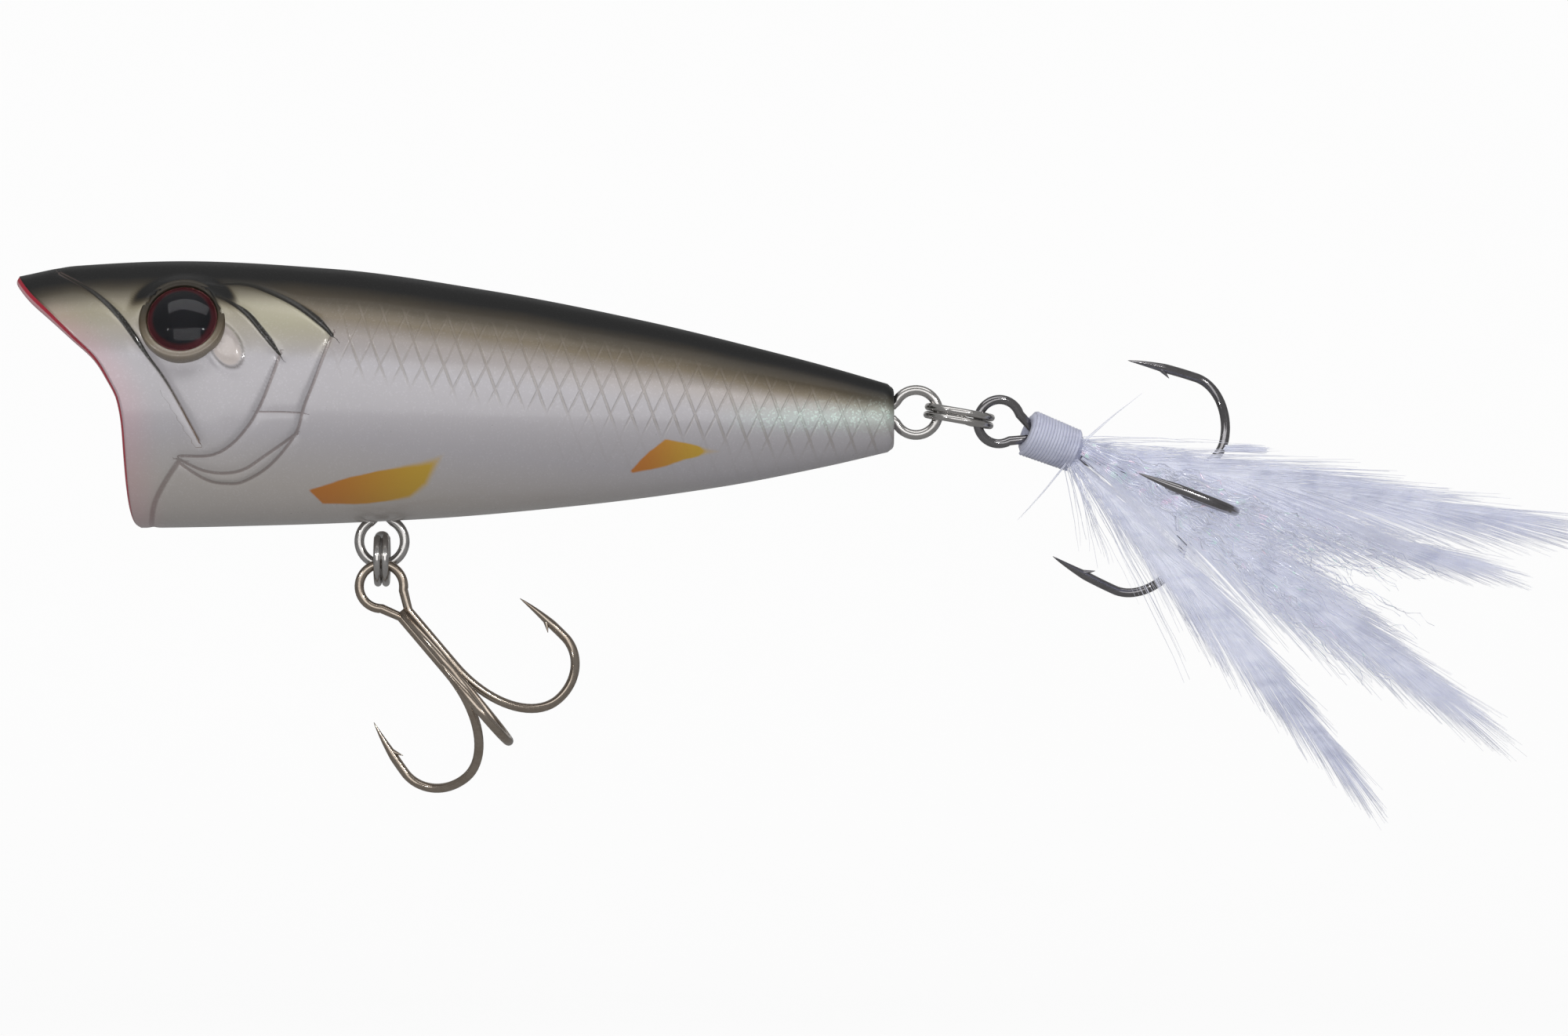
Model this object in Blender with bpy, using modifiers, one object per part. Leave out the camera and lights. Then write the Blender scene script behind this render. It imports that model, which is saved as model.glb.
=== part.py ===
"""Topwater popper: a hollow two-piece moulded lure with a cupped mouth, glued-in wire eyelets,
ballast, a rattle ball, split rings, a belly treble and a feathered tail treble.

Frame: the origin is the middle of the line-tie loop, +X runs to the tail, +Z is up, the left flank
faces -Y. Every size below is in millimetres and is turned into metres where a mesh is made.
"""

import math

import bmesh
import bpy
from mathutils import Matrix, Vector

MM = 0.001

# Body
BODY_LENGTH = 70.2
BODY_HEIGHT = 21.35
BODY_WIDTH = 16.8
WALL = 1.3
SEAM_GAP = 0.06
SKIN_SQUARENESS = 2.3
TAIL_ROUNDING = 0.5
LIP_THICKNESS = 0.9
LINE_TIE_FROM_NOSE = 11.5
CUP_DEPTH_FROM_NOSE = 14.6

# The body's outline, as (share of length, share of height or half-width)
TOP_LINE = ((0.0, 0.520), (0.07, 0.562), (0.19, 0.579), (0.36, 0.550), (0.54, 0.468), (0.72, 0.352),
            (0.86, 0.240), (0.93, 0.179), (1.0, 0.112))
BOTTOM_LINE = ((0.0, -0.421), (0.14, -0.421), (0.30, -0.411), (0.46, -0.389), (0.64, -0.338),
               (0.80, -0.269), (0.92, -0.193), (1.0, -0.132))
SIDE_LINE = ((0.0, 0.86), (0.10, 0.93), (0.24, 1.0), (0.42, 0.96), (0.60, 0.82), (0.78, 0.61),
             (0.92, 0.41), (1.0, 0.30))
# The mouth's rim seen from the side, as (share of height, mm behind the nose)
RIM_LINE = ((-0.421, 9.7), (-0.31, 9.2), (-0.17, 9.0), (-0.05, 8.85), (0.05, 8.5), (0.14, 7.6),
            (0.208, 6.7), (0.30, 4.7), (0.385, 2.8), (0.455, 1.2), (0.520, 0.0))

# Inside of the body
CAVITY_START = 18.6
CAVITY_END = BODY_LENGTH - 5.7
BULKHEAD = 1.0
CLEARANCE = 0.08
PEG_RADIUS = 0.6
PEG_REACH = 1.0
UPPER_PEG = (41.0, 5.2)
BOSS_RADIUS = 1.9

# Eyes
EYE_FROM_NOSE = 13.75
EYE_HEIGHT = 7.4
EYE_TILT = math.radians(24)
EYE_YAW = math.radians(4)
EYE_RADIUS = 2.86
BEZEL_RADIUS = EYE_RADIUS + 0.56
BEZEL_PROUD = 0.55
BEZEL_FOOT = 2.6
SOCKET_DEPTH = 1.5
IRIS_THICKNESS = 0.25
DOME_EDGE = 0.55
DOME_CROWN = 0.85
BROW_RADII = (2.9, 2.4, 2.2)
BROW_FROM_EYE = (0.15, -2.7, 2.9)

# Eyelets
EYELET_WIRE = 0.80
EYELET_NECK = 1.25
EYELET_ANCHOR_RADIUS = 1.45
LINE_TIE_RADIUS = 1.45
BELLY_EYELET_RADIUS = 1.82
TAIL_EYELET_RADIUS = 1.80
BELLY_EYELET_FROM_NOSE = 29.2
BELLY_EYELET_DROP = 1.60
TAIL_EYELET_BEHIND = 1.77
TAIL_EYELET_HEIGHT = 0.25
ANCHOR_DEPTH = 5.4

# Ballast and rattle
KEEL_BALLAST_RADIUS = 2.1
KEEL_BALLAST_LENGTH = 7.0
KEEL_BALLAST_START = 35.0
KEEL_LIFT = 0.21
RATTLE_RADIUS = 2.0
RATTLE_TRAVEL = 6.0
RATTLE_START = 44.0
RATTLE_HEIGHT = -1.6
TAIL_BALLAST_RADIUS = 1.7
TAIL_BALLAST_LENGTH = 5.0
TAIL_BALLAST_HEIGHT = 0.2

# Split rings
RING_WIRE = 0.60
RING_TURN_GAP = 0.04
RING_END_ANGLE = math.radians(31.2)
RING_STEP_ANGLE = math.radians(26)
RING_POINTS = 52
BELLY_RING_RADIUS = 1.93
TAIL_RING_RADIUS = 2.55
BELLY_RING_RISE = 0.42
TAIL_RING_REACH = 1.68
TAIL_RING_TILT = math.radians(10)

# Treble hooks
HOOK_WIRE = 0.75
HOOK_GAP = 0.03
EYE_LOOP_RADIUS = 1.775
EYE_LOOP_OPENING = math.radians(40)
NECK_FROM_EYE = 2.9
# reach: shank axis to point; length: eye's middle to the bottom of the bend; point: eye's middle to point
BELLY_HOOK = {"reach": 8.9, "length": 16.4, "point": 7.85}
TAIL_HOOK = {"reach": 9.8, "length": 19.3, "point": 9.5}
BELLY_HOOK_LEAN = math.radians(40.3)
BELLY_HOOK_SIDE = 1.0
BELLY_HOOK_DROP = 0.55
TAIL_HOOK_DROOP = math.radians(21)
TAIL_HOOK_TURN = math.radians(14)
SHANK_PAST_POINT = 0.8
HOOK_FLARE = 0.85
BEND_CENTRE_SHARE = 0.55
BEND_RISE = 3.3
LEG_EVENNESS = 0.4
POINT_TAPER = 3.2
POINT_WIDTH = 0.08

# Dressing on the tail treble
WRAP_START = 2.35
WRAP_LENGTH = 4.5
WRAP_RADIUS = 1.9
WRAP_MOUTH_WALL = 0.25
WRAP_BEVEL = 0.5
WRAP_TAPER = 0.9
WRAP_TAPER_DEPTH = 0.4
FEATHER_START = 0.1
FEATHER_THICKNESS = 0.35
FEATHER_BASE_SPREAD = 0.037
FEATHER_BASE_WIDTH = 0.3
FEATHER_TIP_WIDTH = 0.06
FEATHER_FULLEST = 1.35
FEATHER_THINNING = 0.6
# name: (layer towards the near side, angle in degrees, curl, length, half-width)
FEATHERS = {
    "feather_upper": (1.3, 9.5, 0.05, 44.0, 3.4),
    "feather_middle": (1.8, -9.5, -0.04, 43.0, 3.3),
    "feather_lower": (1.3, -24.0, -0.06, 38.5, 2.7),
    "feather_rear_upper": (-1.6, 2.5, 0.06, 40.0, 1.9),
    "feather_rear_lower": (-2.2, -5.0, -0.12, 39.0, 2.2),
    "short_hackle": (1.8, -40.0, -0.08, 19.0, 2.0),
    "tinsel_strands": (-1.1, 0.0, -0.12, 33.0, 1.2),
}

# How far the cutters reach past the body
FAR = 30.0
# How finely the shapes are divided
SKIN_SIDES = 36
SKIN_RINGS = 26
CUP_RINGS = 6
CUP_POLE_RINGS = 0.6
CAVITY_RINGS = 14
EYELET_LOOP_STEPS = 20
EYELET_ANCHOR_STEPS = 8
DOME_STEPS = 7
HOOK_EYE_STEPS = 18
BEND_STEPS = 8
LEG_STEPS = 5
WRAP_STEPS = 28
BLADE_RINGS = 14
BLADE_SIDES = 8

LEFT, RIGHT = -1, 1


# ---------------------------------------------------------------- scene and materials

def clear_scene():
    for obj in list(bpy.data.objects):
        bpy.data.objects.remove(obj, do_unlink=True)


def new_collection(name):
    collection = bpy.data.collections.new(name)
    bpy.context.scene.collection.children.link(collection)
    return collection


def new_material(name, colour, roughness, metallic=0.0, alpha=1.0):
    material = bpy.data.materials.new(name)
    material.use_nodes = True
    shader = material.node_tree.nodes["Principled BSDF"]
    shader.inputs["Base Color"].default_value = (*colour, 1.0)
    shader.inputs["Roughness"].default_value = roughness
    shader.inputs["Metallic"].default_value = metallic
    shader.inputs["Alpha"].default_value = alpha
    return material


clear_scene()
PARTS = new_collection("topwater_popper")
CUTTERS = new_collection("cutters")
PEARL = new_material("pearl_paint", (0.62, 0.58, 0.60), 0.22)
IRIS = new_material("iris_print", (0.05, 0.01, 0.015), 0.35)
CLEAR = new_material("clear_lens", (0.02, 0.02, 0.03), 0.05)
STEEL = new_material("stainless_wire", (0.62, 0.60, 0.58), 0.22, 1.0)
NICKEL = new_material("bronze_nickel", (0.42, 0.37, 0.32), 0.20, 1.0)
BLACK_NICKEL = new_material("black_nickel", (0.12, 0.12, 0.13), 0.18, 1.0)
BALLAST = new_material("ballast_metal", (0.40, 0.40, 0.41), 0.45, 1.0)
BRASS = new_material("brass", (0.75, 0.58, 0.28), 0.25, 1.0)
THREAD = new_material("white_thread", (0.72, 0.74, 0.86), 0.6)
FEATHER = new_material("white_feather", (0.70, 0.72, 0.86), 0.7)
TINSEL = new_material("pearl_tinsel", (0.75, 0.76, 0.85), 0.2)


# ---------------------------------------------------------------- smooth outlines

def smooth_value(points, t):
    """A smooth curve through (place, value) points, with its slopes limited so that it can't overshoot."""
    places = [p for p, _ in points]
    values = [v for _, v in points]
    t = min(max(t, places[0]), places[-1])
    chords = [(values[i + 1] - values[i]) / (places[i + 1] - places[i]) for i in range(len(points) - 1)]
    slopes = [chords[0]]
    for before, after in zip(chords, chords[1:]):
        slopes.append(2 * before * after / (before + after) if before * after > 0 else 0.0)
    slopes.append(chords[-1])
    i = max(k for k in range(len(places) - 1) if places[k] <= t)
    span = places[i + 1] - places[i]
    u = (t - places[i]) / span
    return ((2 * u**3 - 3 * u**2 + 1) * values[i] + (u**3 - 2 * u**2 + u) * span * slopes[i]
            + (3 * u**2 - 2 * u**3) * values[i + 1] + (u**3 - u**2) * span * slopes[i + 1])


def top_at(x):
    return BODY_HEIGHT * smooth_value(TOP_LINE, x / BODY_LENGTH)


def bottom_at(x):
    return BODY_HEIGHT * smooth_value(BOTTOM_LINE, x / BODY_LENGTH)


def half_width_at(x):
    return BODY_WIDTH / 2 * smooth_value(SIDE_LINE, x / BODY_LENGTH)


def rim_at(z):
    return smooth_value(RIM_LINE, z / BODY_HEIGHT)


def section_point(x, angle, inset=0.0):
    """(y, z) on the body's section at x, moved in by inset. The angle runs from the left flank upwards."""
    top, bottom, width = top_at(x), bottom_at(x), half_width_at(x)
    middle, half_height = (top + bottom) / 2, (top - bottom) / 2
    across, up = -math.cos(angle), math.sin(angle)
    power = 2 / SKIN_SQUARENESS
    y = math.copysign(abs(across) ** power, across) * (width - inset)
    z = middle + math.copysign(abs(up) ** power, up) * (half_height - inset)
    return y, z


def skin_point(share, angle):
    """A point of the outer skin, from the mouth's rim (share 0) to the tail face (share 1)."""
    rim = 0.0
    for _ in range(12):
        rim = rim_at(section_point(rim, angle)[1])
    x = rim + (BODY_LENGTH - rim) * share
    y, z = section_point(x, angle)
    return Vector((x, y, z))


def world(point):
    """A point measured from the nose, in millimetres, as metres from the line tie."""
    return Vector((point[0] - LINE_TIE_FROM_NOSE, point[1], point[2])) * MM


# ---------------------------------------------------------------- mesh helpers

def mesh_object(name, mesh, collection, material=None):
    obj = bpy.data.objects.new(name, mesh)
    collection.objects.link(obj)
    if material:
        obj.data.materials.append(material)
    if collection == CUTTERS:
        obj.hide_render = True
        obj.display_type = "WIRE"
    return obj


def finish_mesh(bm, name):
    bmesh.ops.recalc_face_normals(bm, faces=bm.faces)
    mesh = bpy.data.meshes.new(name)
    bm.to_mesh(mesh)
    bm.free()
    return mesh


def shade_round(obj):
    obj.data.shade_smooth()
    obj.data.set_sharp_from_angle(angle=math.radians(35))


def loft(rings, name):
    """A closed mesh through rings of points, in metres, with a flat cap at each end."""
    bm = bmesh.new()
    rows = [[bm.verts.new(p) for p in ring] for ring in rings]
    count = len(rows[0])
    for here, there in zip(rows, rows[1:]):
        for i in range(count):
            j = (i + 1) % count
            bm.faces.new((here[i], here[j], there[j], there[i]))
    bm.faces.new(rows[0])
    bm.faces.new(rows[-1])
    return finish_mesh(bm, name)


def boolean(obj, other, operation):
    modifier = obj.modifiers.new(f"{operation.lower()} {other.name}", "BOOLEAN")
    modifier.operation = operation
    modifier.object = other
    modifier.solver = "EXACT"


def box_cutter(name, low, high):
    bm = bmesh.new()
    bmesh.ops.create_cube(bm, size=1.0)
    centre = (world(low) + world(high)) / 2
    size = world(high) - world(low)
    bmesh.ops.transform(bm, verts=bm.verts, matrix=Matrix.Translation(centre) @ Matrix.Diagonal((*size, 1)))
    return mesh_object(name, finish_mesh(bm, name), CUTTERS)


def rod(name, start, end, radius, collection, material=None, sides=24):
    """A cylinder between two points measured from the nose."""
    first, last = world(start), world(end)
    bm = bmesh.new()
    bmesh.ops.create_cone(bm, cap_ends=True, segments=sides, radius1=radius * MM, radius2=radius * MM,
                          depth=(last - first).length)
    turn = (last - first).to_track_quat("Z", "Y").to_matrix().to_4x4()
    bmesh.ops.transform(bm, verts=bm.verts, matrix=Matrix.Translation((first + last) / 2) @ turn)
    return mesh_object(name, finish_mesh(bm, name), collection, material)


def wire(name, points, radius, collection, material=None, tapers=None, resolution=2):
    """A round wire through points in metres, as a closed mesh."""
    curve = bpy.data.curves.new(name, "CURVE")
    curve.dimensions = "3D"
    curve.bevel_depth = radius * MM
    curve.bevel_resolution = resolution
    curve.use_fill_caps = True
    spline = curve.splines.new("POLY")
    spline.points.add(len(points) - 1)
    for i, point in enumerate(points):
        spline.points[i].co = (*point, 1.0)
        spline.points[i].radius = tapers[i] if tapers else 1.0
    guide = bpy.data.objects.new(name + "_guide", curve)
    CUTTERS.objects.link(guide)
    graph = bpy.context.evaluated_depsgraph_get()
    mesh = bpy.data.meshes.new_from_object(guide.evaluated_get(graph))
    mesh.name = name
    bm = bmesh.new()
    bm.from_mesh(mesh)
    bmesh.ops.remove_doubles(bm, verts=bm.verts, dist=0.001 * MM)
    bmesh.ops.recalc_face_normals(bm, faces=bm.faces)
    bm.to_mesh(mesh)
    bm.free()
    obj = mesh_object(name, mesh, collection, material)
    obj.matrix_world = guide.matrix_world
    bpy.data.objects.remove(guide, do_unlink=True)
    bpy.data.curves.remove(curve)
    return obj


def turned(name, profile, matrix, collection, material=None, steps=32):
    """A profile of (radius, height) in millimetres, turned about its Z axis and placed by the matrix."""
    mesh = bpy.data.meshes.new(name)
    points = [(radius * MM, 0.0, height * MM) for radius, height in profile]
    closed = min(radius for radius, _ in profile) > 0
    edges = [(i, i + 1) for i in range(len(points) - 1)]
    if closed:
        edges.append((len(points) - 1, 0))
    mesh.from_pydata(points, edges, [])
    obj = mesh_object(name, mesh, collection, material)
    screw = obj.modifiers.new("turn", "SCREW")
    screw.steps = screw.render_steps = steps
    screw.use_merge_vertices = True
    screw.merge_threshold = 0.000001
    obj.matrix_world = matrix
    return obj


def arc(centre, radius, start, end, count):
    """Points of an arc in a plane, as (first, second) coordinates."""
    return [(centre[0] + radius * math.cos(start + (end - start) * i / count),
             centre[1] + radius * math.sin(start + (end - start) * i / count)) for i in range(count + 1)]


# ---------------------------------------------------------------- body

def body_blank():
    """The whole body with its cupped mouth, as one closed mesh that both halves are cut from."""
    angles = [2 * math.pi * i / SKIN_SIDES for i in range(SKIN_SIDES)]
    pole = Vector((CUP_DEPTH_FROM_NOSE, 0.0, 0.0))
    rim = [skin_point(0.0, a) for a in angles]
    middle = Vector((0.0, 0.0, sum(p.z for p in rim) / len(rim)))
    inner = [p + (Vector((p.x, 0, middle.z)) - p).normalized() * LIP_THICKNESS for p in rim]
    rings = []
    for k in range(CUP_RINGS, 0, -1):
        bend = math.pi / 2 * k / (CUP_RINGS + CUP_POLE_RINGS)
        rings.append([Vector((p.x + (pole.x - p.x) * math.sin(bend), p.y * math.cos(bend),
                              pole.z + (p.z - pole.z) * math.cos(bend))) for p in inner])
    rings.append(inner)
    rings += [[skin_point(i / SKIN_RINGS, a) for a in angles] for i in range(SKIN_RINGS)]
    tail = [skin_point(1.0, a) for a in angles]
    rings.append([p - Vector((TAIL_ROUNDING, 0, 0)) for p in tail])
    shrink = 1 - TAIL_ROUNDING / BODY_WIDTH * 2
    rings.append([Vector((p.x, p.y * shrink, p.z * shrink)) for p in tail])
    return loft([[world(p) for p in ring] for ring in rings], "body_blank")


def cavity():
    """The hollow inside the body, less the bulkheads, ribs and bosses that stay in it."""
    angles = [2 * math.pi * i / SKIN_SIDES for i in range(0, SKIN_SIDES, 2)]
    rings = []
    for i in range(CAVITY_RINGS + 1):
        x = CAVITY_START + (CAVITY_END - CAVITY_START) * i / CAVITY_RINGS
        rings.append([world((x, *section_point(x, a, WALL))) for a in angles])
    return mesh_object("cavity", loft(rings, "cavity"), CUTTERS)


def eyelet_path(neck, away, across, loop_radius, loop_distance, anchor_distance):
    """A wire's centre line: a loop outside, two legs side by side, and a loop round a moulded pin inside.

    neck is where the legs leave the body, away points out of it. Distances run along away from the neck."""
    half = EYELET_NECK / 2
    spread_out = math.asin(half / loop_radius)
    spread_in = math.asin(half / EYELET_ANCHOR_RADIUS)
    end_gap = math.asin((EYELET_WIRE / 2 + CLEARANCE) / EYELET_ANCHOR_RADIUS)
    inside = arc((-anchor_distance, 0), EYELET_ANCHOR_RADIUS, math.pi + end_gap, 2 * math.pi - spread_in,
                 EYELET_ANCHOR_STEPS)
    outside = arc((loop_distance, 0), loop_radius, -math.pi + spread_out, math.pi - spread_out,
                  EYELET_LOOP_STEPS)
    path = inside + outside + [(a, -b) for a, b in reversed(inside)]
    return [world(neck + away * a + across * b) for a, b in path]


def tail_face():
    return Vector((BODY_LENGTH, 0.0, TAIL_EYELET_HEIGHT))


def belly_neck():
    return Vector((BELLY_EYELET_FROM_NOSE, 0.0, bottom_at(BELLY_EYELET_FROM_NOSE)))


def cup_neck():
    return Vector((CUP_DEPTH_FROM_NOSE, 0.0, 0.0))


EYELETS = {
    "line_tie_eyelet": (cup_neck(), Vector((-1, 0, 0)), Vector((0, 0, 1)), LINE_TIE_RADIUS,
                        CUP_DEPTH_FROM_NOSE - LINE_TIE_FROM_NOSE),
    "belly_eyelet": (belly_neck(), Vector((0, 0, -1)), Vector((1, 0, 0)), BELLY_EYELET_RADIUS,
                     BELLY_EYELET_DROP),
    "tail_eyelet": (tail_face(), Vector((1, 0, 0)), Vector((0, 0, 1)), TAIL_EYELET_RADIUS,
                    TAIL_EYELET_BEHIND),
}


def eye_matrix(side):
    """The eye's own frame at the skin, with +Z pointing out of the flank on that side."""
    section = [section_point(EYE_FROM_NOSE, math.radians(i / 2)) for i in range(180)]
    from_middle, _ = min(section, key=lambda point: abs(point[1] - EYE_HEIGHT))
    outward = Vector((-math.sin(EYE_YAW), side * math.cos(EYE_TILT), math.sin(EYE_TILT))).normalized()
    turn = outward.to_track_quat("Z", "Y").to_matrix().to_4x4()
    return Matrix.Translation(world((EYE_FROM_NOSE, side * abs(from_middle), EYE_HEIGHT))) @ turn


def anchor_centre(name):
    neck, away, _, _, _ = EYELETS[name]
    return neck - away * ANCHOR_DEPTH


def rattle_end():
    return RATTLE_START + 2 * RATTLE_RADIUS + RATTLE_TRAVEL + 2 * CLEARANCE


def pegs():
    """Where the left half's pegs stand, as (x, z): one in each eyelet's inner loop, and one above."""
    return [(anchor_centre(name).x, anchor_centre(name).z) for name in EYELETS] + [UPPER_PEG]


def keel_ballast_end():
    return KEEL_BALLAST_START + KEEL_BALLAST_LENGTH


def keel_ballast_height():
    """The ballast lies a little above the hollow's floor, which rises towards the tail."""
    return bottom_at(keel_ballast_end()) + WALL + KEEL_LIFT + KEEL_BALLAST_RADIUS


def build_ribs(hollow):
    """Takes the bulkheads, ribs and bosses out of the hollow, so that the halves keep them."""
    keel_end = keel_ballast_end() + CLEARANCE
    keel_front = KEEL_BALLAST_START - CLEARANCE - BULKHEAD
    for i, x in enumerate((keel_front, keel_end, rattle_end())):
        bulkhead = box_cutter(f"bulkhead_{i}", (x, -FAR, -FAR), (x + BULKHEAD, FAR, FAR))
        boolean(hollow, bulkhead, "DIFFERENCE")
    inside = BULKHEAD / 2
    keel_top = keel_ballast_height() + KEEL_BALLAST_RADIUS + CLEARANCE
    rattle_reach = RATTLE_RADIUS + CLEARANCE
    tail_reach = TAIL_BALLAST_RADIUS + CLEARANCE
    ribs = (
        ("keel", keel_front + inside, keel_end + inside, keel_top),
        ("rattle_upper", keel_end + inside, rattle_end() + inside, RATTLE_HEIGHT + rattle_reach),
        ("rattle_lower", keel_end + inside, rattle_end() + inside, RATTLE_HEIGHT - rattle_reach - BULKHEAD),
        ("tail_upper", rattle_end() + inside, CAVITY_END + inside, TAIL_BALLAST_HEIGHT + tail_reach),
        ("tail_lower", rattle_end() + inside, CAVITY_END + inside,
         TAIL_BALLAST_HEIGHT - tail_reach - BULKHEAD),
    )
    for name, start, end, low in ribs:
        rib = box_cutter(f"rib_{name}", (start, -FAR, low), (end, FAR, low + BULKHEAD))
        boolean(hollow, rib, "DIFFERENCE")
    for name, (neck, away, across, _, _) in EYELETS.items():
        x, _, z = anchor_centre(name)
        radius = EYELET_ANCHOR_RADIUS + EYELET_WIRE / 2 + BULKHEAD
        boolean(hollow, rod(f"{name}_boss", (x, -FAR, z), (x, FAR, z), radius, CUTTERS), "DIFFERENCE")
        web = across * (EYELET_NECK / 2 + EYELET_WIRE / 2 + BULKHEAD)
        corners = (neck - away * ANCHOR_DEPTH - web, neck + away * BULKHEAD + web)
        low = [min(c[i] for c in corners) for i in range(3)]
        high = [max(c[i] for c in corners) for i in range(3)]
        strut = box_cutter(f"{name}_web", (low[0], -FAR, low[2]), (high[0], FAR, high[2]))
        boolean(hollow, strut, "DIFFERENCE")
    x, z = UPPER_PEG
    boolean(hollow, rod("upper_peg_boss", (x, -FAR, z), (x, FAR, z), BOSS_RADIUS, CUTTERS), "DIFFERENCE")


def eye_socket(side):
    frame = eye_matrix(side)
    radius = EYE_RADIUS + CLEARANCE
    profile = [(0.0, BEZEL_FOOT), (radius, BEZEL_FOOT), (radius, -SOCKET_DEPTH), (0.0, -SOCKET_DEPTH)]
    return turned(f"eye_socket_{side}", profile, frame, CUTTERS)


def eye_bezel(side):
    frame = eye_matrix(side)
    inner = EYE_RADIUS - CLEARANCE
    soft = (BEZEL_RADIUS - inner) / 3
    profile = [(inner, BEZEL_PROUD), (BEZEL_RADIUS - soft, BEZEL_PROUD), (BEZEL_RADIUS, BEZEL_PROUD - soft),
               (BEZEL_RADIUS, -BEZEL_FOOT), (inner, -BEZEL_FOOT)]
    return turned(f"eye_bezel_{side}", profile, frame, CUTTERS)


def brow(side):
    bm = bmesh.new()
    bmesh.ops.create_uvsphere(bm, u_segments=20, v_segments=10, radius=1.0)
    dx, dy, dz = BROW_FROM_EYE
    eye = eye_matrix(side).translation / MM
    place = Vector((eye.x + dx, eye.y - side * abs(dy), eye.z + dz)) * MM
    scale = Matrix.Diagonal((*[r * MM for r in BROW_RADII], 1))
    bmesh.ops.transform(bm, verts=bm.verts, matrix=Matrix.Translation(place) @ scale)
    return mesh_object(f"brow_{side}", finish_mesh(bm, "brow"), CUTTERS)


def build_body():
    blank = body_blank()
    hollow = cavity()
    build_ribs(hollow)
    channels = []
    for name, (neck, away, across, radius, distance) in EYELETS.items():
        path = eyelet_path(neck, away, across, radius, distance, ANCHOR_DEPTH)
        channels.append(wire(f"{name}_channel", path, EYELET_WIRE / 2 + CLEARANCE, CUTTERS))
    for side, word in ((LEFT, "left"), (RIGHT, "right")):
        half = mesh_object(f"body_half_{word}", blank.copy(), PARTS, PEARL)
        boolean(half, brow(side), "UNION")
        boolean(half, eye_bezel(side), "UNION")
        seam = side * SEAM_GAP / 2
        low, high = sorted((seam, -side * FAR))
        beyond = box_cutter(f"beyond_seam_{word}", (-FAR, low, -FAR), (BODY_LENGTH + FAR, high, FAR))
        boolean(half, beyond, "DIFFERENCE")
        for cutter in [eye_socket(side), hollow, *channels]:
            boolean(half, cutter, "DIFFERENCE")
        for i, (x, z) in enumerate(pegs()):
            if side == LEFT:
                peg = rod(f"peg_{i}", (x, -PEG_REACH, z), (x, PEG_REACH, z), PEG_RADIUS, CUTTERS)
                boolean(half, peg, "UNION")
            else:
                hole = rod(f"peg_hole_{i}", (x, -PEG_REACH, z), (x, PEG_REACH + CLEARANCE, z),
                           PEG_RADIUS + CLEARANCE, CUTTERS)
                boolean(half, hole, "DIFFERENCE")
        shade_round(half)


def build_eyes():
    for side, word in ((LEFT, "left"), (RIGHT, "right")):
        frame = eye_matrix(side)
        foot = -SOCKET_DEPTH + CLEARANCE
        top = foot + IRIS_THICKNESS
        turned(f"eye_iris_{word}", [(0.0, top), (EYE_RADIUS, top), (EYE_RADIUS, foot), (0.0, foot)], frame,
               PARTS, IRIS)
        base = top + CLEARANCE
        edge = base + DOME_EDGE + SOCKET_DEPTH - IRIS_THICKNESS
        bends = [math.pi / 2 * i / DOME_STEPS for i in range(DOME_STEPS + 1)]
        crown = [(EYE_RADIUS * math.sin(bend), edge + DOME_CROWN * math.cos(bend)) for bend in bends]
        turned(f"eye_dome_{word}", [*crown, (EYE_RADIUS, base), (0.0, base)], frame, PARTS, CLEAR)


# ---------------------------------------------------------------- wires, ballast and rings

def build_eyelets():
    for name, (neck, away, across, radius, distance) in EYELETS.items():
        path = eyelet_path(neck, away, across, radius, distance, ANCHOR_DEPTH)
        shade_round(wire(name, path, EYELET_WIRE / 2, PARTS, STEEL))


def tail_ballast_start():
    return rattle_end() + BULKHEAD + CLEARANCE


def build_ballast():
    height = keel_ballast_height()
    shade_round(rod("keel_ballast", (KEEL_BALLAST_START, 0, height), (keel_ballast_end(), 0, height),
                    KEEL_BALLAST_RADIUS, PARTS, BALLAST))
    start, end = tail_ballast_start(), tail_ballast_start() + TAIL_BALLAST_LENGTH
    shade_round(rod("tail_ballast", (start, 0, TAIL_BALLAST_HEIGHT), (end, 0, TAIL_BALLAST_HEIGHT),
                    TAIL_BALLAST_RADIUS, PARTS, BALLAST))
    bm = bmesh.new()
    bmesh.ops.create_uvsphere(bm, u_segments=20, v_segments=12, radius=RATTLE_RADIUS * MM)
    ball = mesh_object("rattle_ball", finish_mesh(bm, "rattle_ball"), PARTS, BRASS)
    ball.location = world((RATTLE_START + RATTLE_RADIUS, 0, RATTLE_HEIGHT))
    shade_round(ball)


def split_ring(name, radius, centre, turn, material):
    """Two flat turns of wire side by side, joined by a short step. The ring's axis is its own Z."""
    pitch = RING_WIRE + RING_TURN_GAP
    start, end = RING_END_ANGLE, 4 * math.pi - RING_END_ANGLE
    points = []
    for i in range(RING_POINTS + 1):
        angle = start + (end - start) * i / RING_POINTS
        rise = min(max((angle - (2 * math.pi - RING_STEP_ANGLE)) / (2 * RING_STEP_ANGLE), 0.0), 1.0)
        height = pitch * (rise * rise * (3 - 2 * rise) - 0.5)
        place = turn @ Vector((radius * math.cos(angle), radius * math.sin(angle), height))
        points.append(world(centre + place))
    shade_round(wire(name, points, RING_WIRE / 2, PARTS, material))


def belly_hook_pivot():
    """Where the belly ring hangs on its eyelet: the middle of the eyelet's lowest wire."""
    neck = belly_neck()
    return neck - Vector((0, 0, BELLY_EYELET_DROP + BELLY_EYELET_RADIUS))


def belly_ring_centre():
    return belly_hook_pivot() + Vector((0, 0, BELLY_RING_RISE))


def tail_ring_pivot():
    """Where the tail ring hangs on its eyelet: the middle of the eyelet's rearmost wire."""
    return tail_face() + Vector((TAIL_EYELET_BEHIND + TAIL_EYELET_RADIUS, 0, 0))


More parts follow.
